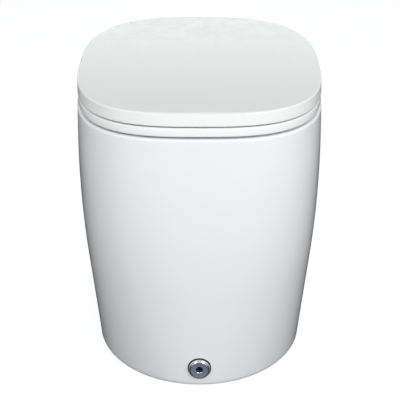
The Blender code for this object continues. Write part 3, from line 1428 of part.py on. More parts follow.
def local_solid(name, profile, material, carrier, sides=ROUND_SIDES):
    """A turned solid whose object lies on its carrier's axis."""
    item = set_smooth(loft(name, local_rings(profile, sides), material))
    item.parent = carrier
    return item


def make_spring(carrier, low, high, materials):
    """The return spring between the switch and the cap: one unbroken helix."""
    wire = SPRING_WIRE_RADIUS
    count = SPRING_TURNS * SPRING_TURN_POINTS
    turn = np.linspace(0, 2 * math.pi * SPRING_TURNS, count + 1)
    rise = np.linspace(low + wire + GAP, high - wire - GAP, count + 1)
    route = np.column_stack((SPRING_RADIUS * np.cos(turn), SPRING_RADIUS * np.sin(turn), rise))
    spring = rod_along("return_spring", route, wire, SPRING_SIDES, materials["steel"])
    spring.parent = carrier
    return spring


def build():
    """Makes every piece."""
    clear_scene()
    materials = finish_materials()
    axis = new_empty("hinge_axis", HINGE)
    make_ceramic_body(materials)
    make_bowl(materials)
    make_trapway(materials)
    make_service_tray(materials)
    make_service_cover(materials)
    make_flush_valve(materials)
    make_pipes(materials)
    make_boxes(materials)
    make_cable(materials)
    make_outlet_seal(materials)
    make_seat(materials, axis)
    make_lid(materials, axis)
    make_bumpers(materials, axis)
    make_hinges(materials, axis)
    make_button(materials)


build()
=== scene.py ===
# %% [markdown]
# # A one-piece toilet with a foot button
#
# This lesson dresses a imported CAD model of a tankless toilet. The model gives every
# piece its place and every joint its axis. The glazed body, the seat, the lid and the
# button are made again here as fine numpy surfaces, and all gets a procedural finish.

# %% Load the fixed frame
import json
import math

import bpy
import numpy as np
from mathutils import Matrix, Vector

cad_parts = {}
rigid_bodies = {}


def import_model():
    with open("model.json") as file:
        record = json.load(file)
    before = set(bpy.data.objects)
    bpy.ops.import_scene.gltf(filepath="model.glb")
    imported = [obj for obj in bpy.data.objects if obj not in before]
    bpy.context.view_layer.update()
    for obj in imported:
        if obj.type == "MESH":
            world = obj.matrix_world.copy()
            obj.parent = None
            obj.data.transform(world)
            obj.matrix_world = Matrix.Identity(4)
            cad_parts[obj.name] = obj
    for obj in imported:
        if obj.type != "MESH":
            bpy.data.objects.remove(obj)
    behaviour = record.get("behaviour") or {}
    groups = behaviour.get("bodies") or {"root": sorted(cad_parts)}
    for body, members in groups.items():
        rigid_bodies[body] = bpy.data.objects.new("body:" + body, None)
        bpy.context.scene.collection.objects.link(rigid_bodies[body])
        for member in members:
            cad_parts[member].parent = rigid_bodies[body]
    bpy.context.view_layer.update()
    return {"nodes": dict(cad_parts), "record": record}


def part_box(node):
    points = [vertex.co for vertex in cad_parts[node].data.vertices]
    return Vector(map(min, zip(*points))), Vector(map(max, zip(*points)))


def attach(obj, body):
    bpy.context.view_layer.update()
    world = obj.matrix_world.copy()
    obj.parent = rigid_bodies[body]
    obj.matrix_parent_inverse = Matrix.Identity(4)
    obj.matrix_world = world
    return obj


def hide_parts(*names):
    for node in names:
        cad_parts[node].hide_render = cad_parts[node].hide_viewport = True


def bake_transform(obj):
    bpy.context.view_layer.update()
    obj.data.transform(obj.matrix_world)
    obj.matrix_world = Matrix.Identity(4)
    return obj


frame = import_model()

nodes = frame["nodes"]
print("pieces from the CAD model:", len(nodes))


def box_of(node):
    """The lowest and the highest corner of a node, as arrays."""
    low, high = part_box(node)
    return np.array(low), np.array(high)


# %% [markdown]
# ## The camera
#
# The toilet is seen from the front and a little above. A short lens close by could give
# the same size, but the nearly level seams between lid, seat and body ask for a long one
# far away. The small shift puts the object a hair left of the picture's middle.

# %% Camera
CAMERA_PLACE = Vector((0.0, -3.027, 1.191))
CAMERA_AIM = Vector((0.0, -0.026, 0.222))
LENS_MM = 166.4
FRAME_PIXELS = 400
MIDDLE_LEFT_PIXELS = 0.58  # how far left of the picture's middle the object stands

scene = bpy.context.scene
camera_data = bpy.data.cameras.new("camera")
camera_data.lens = LENS_MM
camera_data.shift_x = MIDDLE_LEFT_PIXELS / FRAME_PIXELS
camera_data.clip_end = 50.0
camera = bpy.data.objects.new("camera", camera_data)
camera.location = CAMERA_PLACE
camera.rotation_mode = "QUATERNION"
camera.rotation_quaternion = (CAMERA_AIM - CAMERA_PLACE).to_track_quat("-Z", "Y")
scene.collection.objects.link(camera)
scene.camera = camera
scene.view_settings.view_transform = "Standard"
print("camera is", round((CAMERA_AIM - CAMERA_PLACE).length, 3), "m from its aim")


# %% [markdown]
# ## Node helpers
#
# Every finish takes the same few steps: a noise over the piece's own place, a pair of
# values it runs between, and a bump. Image textures could do it too, but a procedural
# finish has no edge and no resolution.

# %% Material helpers
def new_material(name, **values):
    """A Principled material; each keyword sets one of the shader's own sockets."""
    material = bpy.data.materials.new(name)
    material.use_nodes = True
    for socket, value in values.items():
        shader_input(material, socket.replace("_", " ")).default_value = value
    return material


def add_node(material, kind, **settings):
    """A node with its settings; a key that names an input socket sets that socket."""
    node = material.node_tree.nodes.new("ShaderNode" + kind)
    for key, value in settings.items():
        if key in node.inputs:
            node.inputs[key].default_value = value
        else:
            setattr(node, key, value)
    return node


def link(material, start, end):
    """Joins an output socket to an input socket."""
    material.node_tree.links.new(start, end)


def shader_input(material, socket):
    """A socket of the material's Principled shader."""
    return material.node_tree.nodes["Principled BSDF"].inputs[socket]


def colour_inputs(mix):
    """The two colour sockets of a Mix node."""
    return [s for s in mix.inputs if s.type == "RGBA"]


def colour_output(mix):
    """The colour that a Mix node gives."""
    return next(s for s in mix.outputs if s.type == "RGBA")


def noise(material, scale, detail=3.0):
    """Noise over the piece's own place: scale is in waves per metre."""
    place = add_node(material, "TexCoord")
    texture = add_node(material, "TexNoise", Scale=scale, Detail=detail)
    link(material, place.outputs["Object"], texture.inputs["Vector"])
    return texture.outputs["Fac"]


def vary(material, factor, socket, low, high):
    """The factor runs a socket of the shader from low to high."""
    spread = add_node(material, "MapRange", **{"From Min": 0.3, "From Max": 0.7})
    spread.inputs["To Min"].default_value = low
    spread.inputs["To Max"].default_value = high
    link(material, factor, spread.inputs["Value"])
    link(material, spread.outputs["Result"], shader_input(material, socket))


def tint(material, factor, low, high):
    """The factor runs the base colour between two colours."""
    mix = add_node(material, "Mix", data_type="RGBA")
    for socket, value in zip(colour_inputs(mix), (low, high)):
        socket.default_value = (*value, 1.0)
    link(material, factor, mix.inputs["Factor"])
    link(material, colour_output(mix), shader_input(material, "Base Color"))


def bump(material, *layers):
    """Bumps one on another: each layer is a factor, a depth in metres and a strength."""
    last = None
    for factor, depth, strength in layers:
        node = add_node(material, "Bump", Strength=strength, Distance=depth)
        link(material, factor, node.inputs["Height"])
        if last is not None:
            link(material, last, node.inputs["Normal"])
        last = node.outputs["Normal"]
    link(material, last, shader_input(material, "Normal"))


# %% [markdown]
# ## Floor, backdrop and light
#
# The light is soft and even. The floor and the world are white to the camera, so the
# ground is white without more light on the object, and the floor keeps its shadow. A
# white glaze is drawn by what it mirrors. A wall seen from above mirrors the floor, and
# its edges come out dark because the floor around and behind the toilet is dim in
# mirrors. The flat lid mirrors a low band of the sky, which runs from bright to dark.
# Dark cards beside the object could do both, but their hard edges would show.

# %% What the camera and the mirrors see
FLOOR_HALF = 6.0
FLOOR_GREY = 0.25
FLOOR_GLOW = 0.82  # what the camera sees of the floor on top of its shade
FLOOR_DIM_CENTRE_Y = 0.45  # the middle of the dim disc, behind the toilet
# (distance from that middle in metres, brightness in mirrors)
FLOOR_MIRROR = (
    (0.0, 0.0), (0.60, 0.0), (0.78, 0.07), (1.0, 0.12), (1.35, 0.20), (3.2, 0.45), (5.0, 0.9),
)
# (sine of the height above the horizon, brightness in mirrors)
SKY_MIRROR = (
    (0.0, 0.35), (0.17, 0.40), (0.205, 1.66), (0.2207, 1.54), (0.2270, 1.07), (0.2317, 0.84),
    (0.2374, 0.62), (0.2494, 0.33), (0.262, 0.06), (0.30, 0.16), (0.40, 0.60), (0.60, 0.80),
    (1.0, 0.25),
)
SKY_LIGHT = ((0.0, 1.04), (1.0, 0.38))  # the same pairs for the light it gives
COOL = (0.988, 1.0, 1.018)  # the tint of that light


def curve_of(material, value, points, tinted=(1.0, 1.0, 1.0)):
    """A value carried through straight steps between (place, result) points."""
    ramp = add_node(material, "ValToRGB")
    span = points[-1][0]
    stops = ramp.color_ramp.elements
    while len(stops) < len(points):
        stops.new(0.5)
    for stop, (place, result) in zip(stops, points):
        stop.position = place / span
        stop.color = (*[result * part for part in tinted], 1.0)
    scale = add_node(material, "Math", operation="DIVIDE")
    scale.inputs[1].default_value = span
    link(material, value, scale.inputs[0])
    link(material, scale.outputs[0], ramp.inputs["Fac"])
    return ramp.outputs["Color"]


def in_mirrors(material, path):
    """1 for the rays that a gloss or a clear body sends out, 0 for all others."""
    either = add_node(material, "Math", operation="MAXIMUM")
    link(material, path.outputs["Is Glossy Ray"], either.inputs[0])
    link(material, path.outputs["Is Transmission Ray"], either.inputs[1])
    return either.outputs[0]


def chosen(material, factor, without, with_it):
    """A shader chosen by a factor: the first at 0, the second at 1."""
    mix = add_node(material, "MixShader")
    link(material, factor, mix.inputs["Fac"])
    link(material, without, mix.inputs[1])
    link(material, with_it, mix.inputs[2])
    return mix.outputs[0]


# %% Floor
floor_finish = bpy.data.materials.new("white_floor")
floor_finish.use_nodes = True
floor_finish.node_tree.nodes.clear()
path = add_node(floor_finish, "LightPath")
shade = add_node(floor_finish, "BsdfDiffuse", Color=(*[FLOOR_GREY] * 3, 1.0))
glow = add_node(floor_finish, "Emission", Strength=FLOOR_GLOW)
seen = add_node(floor_finish, "AddShader")
link(floor_finish, shade.outputs[0], seen.inputs[0])
link(floor_finish, glow.outputs[0], seen.inputs[1])
place = add_node(floor_finish, "TexCoord")
from_object = add_node(floor_finish, "VectorMath", operation="DISTANCE")
from_object.inputs[1].default_value = (0.0, FLOOR_DIM_CENTRE_Y, 0.0)
link(floor_finish, place.outputs["Object"], from_object.inputs[0])
mirrored = add_node(floor_finish, "Emission")
mirror_level = curve_of(floor_finish, from_object.outputs["Value"], FLOOR_MIRROR)
link(floor_finish, mirror_level, mirrored.inputs["Color"])
direct = chosen(floor_finish, path.outputs["Is Camera Ray"], shade.outputs[0], seen.outputs[0])
floor_out = add_node(floor_finish, "OutputMaterial")
final = chosen(floor_finish, in_mirrors(floor_finish, path), direct, mirrored.outputs[0])
link(floor_finish, final, floor_out.inputs["Surface"])

floor_mesh = bpy.data.meshes.new("floor")
corners = [(x, y, 0.0) for x, y in ((-1, -1), (1, -1), (1, 1), (-1, 1))]
floor_mesh.from_pydata((np.array(corners) * FLOOR_HALF).tolist(), [], [(0, 1, 2, 3)])
floor_mesh.materials.append(floor_finish)
floor = bpy.data.objects.new("floor", floor_mesh)
scene.collection.objects.link(floor)
print("floor half width:", FLOOR_HALF)

# %% World
world = bpy.data.worlds.new("studio")
scene.world = world
world.use_nodes = True
background = world.node_tree.nodes["Background"]
world_path = add_node(world, "LightPath")
direction = add_node(world, "TexCoord")
height = add_node(world, "SeparateXYZ")
link(world, direction.outputs["Generated"], height.inputs["Vector"])
light_or_sky = add_node(world, "Mix", data_type="RGBA")
light, sky = colour_inputs(light_or_sky)
link(world, curve_of(world, height.outputs["Z"], SKY_LIGHT, COOL), light)
link(world, curve_of(world, height.outputs["Z"], SKY_MIRROR), sky)
link(world, in_mirrors(world, world_path), light_or_sky.inputs["Factor"])
seen_or_not = add_node(world, "Mix", data_type="RGBA")
unseen, white = colour_inputs(seen_or_not)
white.default_value = (1.0, 1.0, 1.0, 1.0)
link(world, world_path.outputs["Is Camera Ray"], seen_or_not.inputs["Factor"])
link(world, colour_output(light_or_sky), unseen)
link(world, colour_output(seen_or_not), background.inputs["Color"])
print("world strength, level and overhead:", [level for _, level in SKY_LIGHT])


# %% Lamps
def lamp(name, place, aim, size, power, mirrored):
    """A soft light; one that isn't mirrored leaves no spot in the glaze."""
    data = bpy.data.lights.new(name, "AREA")
    data.shape = "RECTANGLE"
    data.size, data.size_y = size
    data.energy = power
    item = bpy.data.objects.new(name, data)
    item.location = place
    item.rotation_mode = "QUATERNION"
    item.rotation_quaternion = (Vector(aim) - Vector(place)).to_track_quat("-Z", "Y")
    scene.collection.objects.link(item)
    item.visible_camera = False
    item.visible_glossy = mirrored


BODY, FOOT_ZONE, LID_REAR = (0.0, 0.0, 0.25), (0.0, 0.0, 0.2), (0.0, 0.2, 0.45)
LAMPS = (  # name, place, aim, width and height, watts, seen in mirrors
    ("front_light", (0.0, -3.2, 1.9), BODY, (1.6, 1.2), 24.5, False),
    ("front_right_light", (1.7, -2.8, 1.7), BODY, (0.9, 1.7), 21.8, True),
    ("front_left_light", (-1.7, -2.8, 1.7), BODY, (0.7, 1.4), 5.0, True),
    ("low_front_light", (0.0, -3.0, 0.7), FOOT_ZONE, (2.4, 0.8), 10.5, False),
    ("rear_light", (0.0, 1.0, 1.7), LID_REAR, (1.0, 0.6), 3.0, False),
    ("right_light", (2.4, -0.3, 1.3), BODY, (1.2, 1.2), 2.9, True),
    ("right_side_light", (2.6, 0.5, 0.9), BODY, (1.2, 1.2), 6.4, False),
    ("left_side_light", (-2.6, 0.4, 1.1), BODY, (1.2, 1.2), 6.4, False),
)
for settings in LAMPS:
    lamp(*settings)
print("lamps:", len(LAMPS))

# %% [markdown]
# ## Surfaces from numpy
#
# The body, the seat and the lid share one idea: a plan curve made of two half
# superellipses, whose size and squareness change with the height. So a surface is one
# table of rings, and each ring is seven numbers. Subdividing a rough cage could make it
# too, but the glaze mirrors every ripple that a cage leaves.

# %% Plan curve and grid
AROUND = 240
ANGLE = np.arange(AROUND) * 2 * np.pi / AROUND


def plan_surface(rings):
    """Points of every ring at every polar angle t.

    A ring is (half width a, widest y, front reach, rear reach, front power, rear power,
    z). The radius is (|cos t / a|^n + |sin t / reach|^n)^(-1/n), with the front reach and
    power where sin t is below zero and the rear ones where it isn't.
    """
    rings = np.asarray(rings, float)
    width, widest, front, rear, front_power, rear_power, z = (c[:, None] for c in rings.T)
    cosine, sine = np.cos(ANGLE), np.sin(ANGLE)
    reach = np.where(sine > 0, rear, front)
    power = np.where(sine > 0, rear_power, front_power)
    radius = (np.abs(cosine / width) ** power + np.abs(sine / reach) ** power) ** (-1 / power)
    return np.stack((radius * cosine, widest + radius * sine, z + 0 * radius), axis=-1)


def grid_faces(rows, columns, wrap_rows):
    """Quads of a grid whose columns close round, and whose rows may close too."""
    index = np.arange(rows * columns).reshape(rows, columns)
    if wrap_rows:
        index = np.vstack((index, index[:1]))
    here, there = index[:-1], index[1:]
    after = np.roll(index, -1, axis=1)
    quads = np.stack((here, after[:-1], after[1:], there), axis=-1)
    return quads.reshape(-1, 4)


def surface(name, points, poles=None, wrap_rows=False):
    """A mesh object from a grid of points (rows, columns, 3), closed at its poles."""
    rows, columns = points.shape[:2]
    flat = points.reshape(-1, 3)
    faces = grid_faces(rows, columns, wrap_rows).tolist()
    if poles is not None:
        first, last = len(flat), len(flat) + 1
        flat = np.vstack((flat, np.asarray(poles, float)))
        column = np.arange(columns)
        after = (column + 1) % columns
        base = (rows - 1) * columns
        faces += np.stack((after, column, 0 * column + first), -1).tolist()
        faces += np.stack((base + column, base + after, 0 * column + last), -1).tolist()
    mesh = bpy.data.meshes.new(name)
    mesh.from_pydata(flat.tolist(), [], faces)
    mesh.validate()
    item = bpy.data.objects.new(name, mesh)
    scene.collection.objects.link(item)
    return item


def blend_rings(start, end, shares):
    """Rings between two rings, at each share of the way."""
    shares = np.asarray(shares)[:, None]
    return start * (1 - shares) + end * shares


def inset(ring, amount, z=None):
    """A ring moved in by an amount, and to another height if one is given."""
    moved = np.array(ring, float)
    moved[[0, 2, 3]] -= amount
    if z is not None:
        moved[6] = z
    return moved


def rounding(ring, inward, z, rise):
    """Rings of a rounded edge, from its wall to its flat face, for t from 0 to pi / 2.

    The ring moves in by inward (1 - cos t) and lies at z + rise (1 - sin t).
    """
    turn = np.linspace(0.0, np.pi / 2, 7)
    return np.array([
        inset(ring, inward * (1 - math.cos(t)), z + rise * (1 - math.sin(t))) for t in turn
    ])


print("columns round each surface:", AROUND)


# %% Cutting helpers
def cut_and_join(item, steps):
    """Applies Boolean steps (operation, body) to a mesh and deletes the guide bodies."""
    for operation, other in steps:
        step = item.modifiers.new(operation.lower(), "BOOLEAN")
        step.operation = operation
        step.solver = "EXACT"
        step.object = other
    bpy.context.view_layer.update()
    evaluated = item.evaluated_get(bpy.context.evaluated_depsgraph_get())
    finished = bpy.data.meshes.new_from_object(evaluated)
    item.modifiers.clear()
    old = item.data
    item.data = finished
    finished.name = item.name
    bpy.data.meshes.remove(old)
    for other in {o.name: o for _, o in steps}.values():
        bpy.data.meshes.remove(other.data)


def finish_piece(item, body, slot, material, *replaced, sharp_degrees=32.0):
    """Shades a piece smooth but for its sharp edges, and gives it a body and a finish."""
    mesh = item.data
    mesh.shade_smooth()
    mesh.set_sharp_from_angle(angle=math.radians(sharp_degrees))
    mesh.materials.clear()
    mesh.materials.append(material)
    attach(item, body)
    if replaced:
        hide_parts(*replaced)
    size = np.ptp([v.co for v in mesh.vertices], axis=0).round(4)
    print(item.name, "faces:", len(mesh.polygons), "size:", size)


def unit(vector):
    """The vector at length one."""
    vector = np.asarray(vector, float)
    return vector / np.linalg.norm(vector)


def square_to(along):
    """A direction at right angles to another, near X or else near Y."""
    seed = np.array((1.0, 0.0, 0.0)) if abs(along[0]) < 0.9 else np.array((0.0, 1.0, 0.0))
    return unit(seed - along * seed.dot(along))


def turned(name, profile, start, along, sides=48, closed=False):
    """A turned body: profile points (radius, height) carried round the axis.

    A point is start + height * along + radius * (cos t * side + sin t * other).
    """
    along = unit(along)
    side = square_to(along)
    other = np.cross(along, side)
    profile = np.asarray(profile, float)
    turn = np.arange(sides) * 2 * np.pi / sides
    circle = np.cos(turn)[:, None] * side + np.sin(turn)[:, None] * other
    start = np.asarray(start, float)
    points = start + profile[:, 1, None, None] * along + profile[:, 0, None, None] * circle
    if closed:
        return surface(name, points, wrap_rows=True)
    ends = (start + profile[0, 1] * along, start + profile[-1, 1] * along)
    return surface(name, points, poles=ends)


def smooth_route(points, steps):
    """A smooth curve through points, by the cubic whose slope is half the neighbours' gap."""
    route = np.array(points, float)
    padded = np.vstack((2 * route[0] - route[1], route, 2 * route[-1] - route[-2]))
    station = np.linspace(0, len(route) - 1, steps)
    index = np.minimum(station.astype(int), len(route) - 2)
    part = (station - index)[:, None]
    before, start, end, after = (padded[index + k] for k in range(4))
    return 0.5 * (
        2 * start
        + (end - before) * part
        + (2 * before - 5 * start + 4 * end - after) * part**2
        + (3 * start - before - 3 * end + after) * part**3
    )


def route_rings(route, radius, sides):
    """Rings square to a route; each takes its side from the ring before, so none twists."""
    tangent = np.gradient(route, axis=0)
    tangent /= np.linalg.norm(tangent, axis=1)[:, None]
    side = square_to(tangent[0])
    sides_along = []
    for step in tangent:
        side = unit(side - step * side.dot(step))
        sides_along.append(side)
    side = np.array(sides_along)
    other = np.cross(tangent, side)
    turn = np.arange(sides)[:, None] * 2 * np.pi / sides
    circle = np.cos(turn) * side[:, None] + np.sin(turn) * other[:, None]
    return route[:, None] + radius * circle


def rod(name, route, radius, sides=32):
    """A round rod along a route, with flat ends."""
    return surface(name, route_rings(route, radius, sides), poles=(route[0], route[-1]))


def prism(name, outline, low, high):
    """An upright body over an outline in X and Y, anticlockwise seen from above."""
    outline = np.asarray(outline, float)
    rows = [np.column_stack((outline, np.full(len(outline), z))) for z in (low, high)]
    middle = outline.mean(0)
    return surface(name, np.array(rows), poles=((*middle, low), (*middle, high)))


def rounded_outline(half_x, low_y, high_y, corner, corner_steps=8):
    """A rectangle with round corners, anticlockwise seen from above."""
    turn = np.linspace(0, np.pi / 2, corner_steps + 1)
    centres = (
        (half_x - corner, low_y + corner, -np.pi / 2),
        (half_x - corner, high_y - corner, 0.0),
        (-half_x + corner, high_y - corner, np.pi / 2),
        (-half_x + corner, low_y + corner, np.pi),
    )
    parts = [
        np.column_stack((x + corner * np.cos(start + turn), y + corner * np.sin(start + turn)))
        for x, y, start in centres
    ]
    return np.vstack(parts)


# %% [markdown]
# ## The finishes in sight
#
# Vitreous china carries a thick, very glossy glaze that was liquid once, so it lies in
# slow, shallow waves, and the clay shimmers through it a little cool. The lid and the
# seat are a hard white moulding, nearly as glossy and slightly warmer. Both could be one
# plain white, but then their reflections would run dead straight, as they never do.

# %% Glaze and moulding
glaze = new_material(
    "white_glaze", Base_Color=(0.87, 0.88, 0.89, 1.0), Roughness=0.06, IOR=1.60
)
slow_wave = noise(glaze, 9.0, detail=1.0)
tint(glaze, slow_wave, (0.862, 0.872, 0.880), (0.876, 0.884, 0.890))
vary(glaze, noise(glaze, 40.0), "Roughness", 0.045, 0.085)
bump(glaze, (slow_wave, 0.0010, 0.12), (noise(glaze, 160.0, detail=2.0), 0.00012, 0.10))

gloss = new_material(
    "white_gloss", Base_Color=(0.86, 0.87, 0.86, 1.0), Roughness=0.12, IOR=1.50
)
tint(gloss, noise(gloss, 7.0, detail=2.0), (0.888, 0.894, 0.886), (0.902, 0.906, 0.900))
vary(gloss, noise(gloss, 60.0), "Roughness", 0.10, 0.16)
bump(gloss, (noise(gloss, 220.0, detail=2.0), 0.00008, 0.10))
print("finishes so far:", glaze.name, gloss.name)


# %% [markdown]
# ## The ceramic body
#
# The body is one casting: a skirt that tapers from a squarish rim to a narrower and more
# oval foot, a deck with a rounded outer edge, and a deep bowl with a softly rolled lip.
# It is one closed skin: the rings start in the sump, climb the bowl, cross the deck, run
# down the skirt, turn under the foot and come back along the inside of the walls.

# %% Sizes that the body shares with the CAD model
body_low, body_high = box_of("ceramic_body")
seat_low = box_of("seat_plate")[0]
lid_high = box_of("lid_shell")[1]
DECK_Z = body_high[2]
WIDEST_Y = -0.024
RIM_REACH = (WIDEST_Y - body_low[1], body_high[1] - WIDEST_Y)
RIM = np.array((body_high[0], WIDEST_Y, *RIM_REACH, 2.94, 2.77, DECK_Z))
FOOT = np.array((0.1685, -0.040, 0.262, 0.3525, 2.0, 2.2, 0.0))
SHOULDER_Z = DECK_Z * 0.8977
KNEE_Z = DECK_Z * 0.3774
WALL = 0.012
DECK_THICKNESS = 0.018
DECK_EDGE = 0.004
FOOT_EDGE = 0.004
BOWL = np.array((0.132, -0.075, 0.205, 0.160, 2.3, 2.3, DECK_Z))
SUMP_Z = DECK_Z * 0.35757
SUMP_SHIFT_Y = -0.010
BOWL_DEPTH_SHARES = (0.0, 0.12, 0.28, 0.44, 0.60, 0.76, 0.90, 1.0)
BOWL_PLAN_SHARES = (1.0, 0.99, 0.95, 0.85, 0.70, 0.53, 0.40, 0.20)
print("rim half width, front and rear reach:", RIM[[0, 2, 3]].round(4))


# %% Rings of the skirt and the bowl
def skirt_rings(heights, inward=0.0):
    """Rings of the skirt: the rim's values run to the foot's by the lean.

    The lean is 0 above the shoulder and grows with the square of the depth to the knee;
    below the knee it grows evenly, so that the wall is straight there.
    """
    z = np.asarray(heights, float)
    middle = (SHOULDER_Z + KNEE_Z) / 2
    eased = (SHOULDER_Z - z) ** 2 / (2 * (SHOULDER_Z - KNEE_Z)) / middle
    even = (middle - np.maximum(z, 0.0)) / middle
    lean = np.where(z >= SHOULDER_Z, 0.0, np.where(z <= KNEE_Z, even, eased))
    rings = RIM + (FOOT - RIM) * lean[:, None]
    rings[:, [0, 2, 3]] -= np.reshape(inward, (-1, 1))
    rings[:, 6] = z
    return rings


def bowl_rings(shares, thickness=0.0):
    """Rings of the bowl at shares of the way along its curve, from the rim to the sump.

    Depth and plan follow a smooth curve through the bowl's table; a thickness moves them
    outwards and down.
    """
    table = np.column_stack((BOWL_DEPTH_SHARES, BOWL_PLAN_SHARES))
    curve = smooth_route(table, 15 * (len(table) - 1) + 1)
    along = np.concatenate(([0.0], np.cumsum(np.linalg.norm(np.diff(curve, axis=0), axis=1))))
    along /= along[-1]
    depth = np.interp(shares, along, curve[:, 0])
    plan = np.interp(shares, along, curve[:, 1])
    rings = np.tile(BOWL, (len(plan), 1))
    rings[:, [0, 2, 3]] = rings[:, [0, 2, 3]] * plan[:, None] + thickness
    rings[:, 1] += SUMP_SHIFT_Y * depth
    rings[:, 6] = DECK_Z - (DECK_Z - SUMP_Z + thickness) * depth
    return rings


# %% The skin of the body
LIP = 0.006  # radius of the bowl's lip

inside = bowl_rings(np.linspace(1.0, 0.035, 46))
lip = rounding(bowl_rings([0.0])[0], -LIP, DECK_Z, -LIP)
edge = rounding(RIM, DECK_EDGE, DECK_Z, -DECK_EDGE)[::-1]
deck = blend_rings(lip[-1], edge[0], np.linspace(0.0, 1.0, 15)[1:-1])
drop = np.linspace(0.0, 1.0, 74)[1:]
skirt = skirt_rings(DECK_Z - DECK_EDGE - (DECK_Z - DECK_EDGE - FOOT_EDGE) * drop)
foot = skirt_rings([FOOT_EDGE / 2, 0.0], [FOOT_EDGE / 8, FOOT_EDGE / 2])
under = skirt_rings([0.0], WALL)
climb = np.linspace(0.0, 1.0, 25)[1:]
lining = skirt_rings((DECK_Z - DECK_THICKNESS) * climb, WALL)
outside = bowl_rings(np.linspace(0.10, 1.0, 24), WALL)
outside_start = inset(bowl_rings([0.0], WALL)[0], 0.0, DECK_Z - DECK_THICKNESS)
ceiling = blend_rings(lining[-1], outside_start, np.linspace(0.0, 1.0, 7)[1:])
rings = np.vstack((inside, lip, deck, edge, skirt, foot, under, lining, ceiling, outside))
sump = (0.0, inside[0][1], SUMP_Z)
sump_outside = (0.0, outside[-1][1], SUMP_Z - WALL)
body = surface("ceramic_body_glazed", plan_surface(rings)[::-1], poles=(sump_outside, sump))
print("rings of the body:", len(rings))

# %% [markdown]
# ## Trapway, well, arch and holes
#
# Under the bowl a bent tube climbs from the sump over the weir and falls to the spigot
# above the floor drain. It is a circle carried along a smooth route, joined to the body
# and bored through. The deck has a well with a ledge for the tray and its cover, the
# skirt has an arch at the rear for the water supply, and a flat seat for the button.
# Each is cut with a guide body; in the grid, the rings would have to bend round it.

# %% Routes and places of the cuts
TRAP_BORE = 0.026
TRAP_WALL = 0.009
WEIR = np.array((0.098, DECK_Z * 0.61502))
OUTLET = np.array((0.0375, 0.012))
OVERRUN = 0.010
WELL = (0.105, 0.128, 0.250)  # half width, front and rear
WELL_CORNER = 0.012
LEDGE_WIDTH, LEDGE_DEPTH = 0.010, 0.0065
ARCH_HALF_WIDTH, ARCH_HEIGHT, ARCH_CORNER, ARCH_FRONT_Y = 0.085, 0.190, 0.030, 0.255
MANIFOLD_Z = sum(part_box("rim_pipe")[k].z for k in (0, 1)) / 2

sump_y = BOWL[1] + SUMP_SHIFT_Y
entry_z = SUMP_Z + TRAP_BORE
fall_z = WEIR[1] - 2 * TRAP_BORE
TRAP_POINTS = (
    (0.0, sump_y + TRAP_BORE / 2, entry_z + TRAP_BORE / 2),
    (0.0, sump_y + 2.2 * TRAP_BORE, entry_z),
    (0.0, (sump_y + WEIR[0]) / 2 + 1.4 * TRAP_BORE, (entry_z + WEIR[1]) / 2),
    (0.0, WEIR[0] - 1.2 * TRAP_BORE, WEIR[1] - TRAP_BORE / 4),
    (0.0, *WEIR),
    (0.0, WEIR[0] + 1.3 * TRAP_BORE, WEIR[1] - TRAP_BORE),
    (0.0, WEIR[0] + 1.3 * TRAP_BORE, fall_z - TRAP_BORE / 2),
    (0.0, (WEIR[0] + OUTLET[0]) / 2 + TRAP_BORE / 2, fall_z - 2.6 * TRAP_BORE),
    (0.0, OUTLET[0], OUTLET[1] + 2 * TRAP_BORE),
    (0.0, OUTLET[0], OUTLET[1] + TRAP_BORE),
    (0.0, *OUTLET),
)
trap_route = smooth_route(TRAP_POINTS, 61)
trap_end = np.vstack((trap_route, trap_route[-1] - (0.0, 0.0, OUTLET[1] + OVERRUN)))


def well_outline(inward):
    """The well's outline in the deck, moved in."""
    return rounded_outline(WELL[0] - inward, WELL[1] + inward, WELL[2] - inward, WELL_CORNER)


def arch_cutter():
    """The opening low in the rear of the skirt: a rounded outline carried along Y."""
    outline = rounded_outline(ARCH_HALF_WIDTH, -ARCH_HEIGHT, ARCH_HEIGHT, ARCH_CORNER)
    ends = (body_high[1] + OVERRUN, ARCH_FRONT_Y)
    rows = [
        np.column_stack((outline[:, 0], np.full(len(outline), y), outline[:, 1])) for y in ends
    ]
    return surface("arch", np.array(rows), poles=[(0, y, 0) for y in ends])


def hole(name, start, end, radius, sides=48):
    """A straight round cutter between two points."""
    start, end = np.asarray(start, float), np.asarray(end, float)
    length = np.linalg.norm(end - start)
    return turned(name, ((radius, 0.0), (radius, length)), start, end - start, sides)


# %% The button's axis
BUTTON_Z = 0.0307
FACE_RADIUS = 0.0190
wall_here, wall_above = (
    widest - reach for widest, reach in skirt_rings([BUTTON_Z, BUTTON_Z + FACE_RADIUS])[:, [1, 2]]
)
BUTTON_PLACE = np.array((0.0, wall_here, BUTTON_Z))
BUTTON_OUT = unit((0.0, -1.0, (wall_above - wall_here) / FACE_RADIUS))
print("button sits at", BUTTON_PLACE.round(5), "and looks along", BUTTON_OUT.round(5))


# %% Cutting the body
def at_button(height):
    """A point on the button's axis."""
    return BUTTON_PLACE + BUTTON_OUT * height


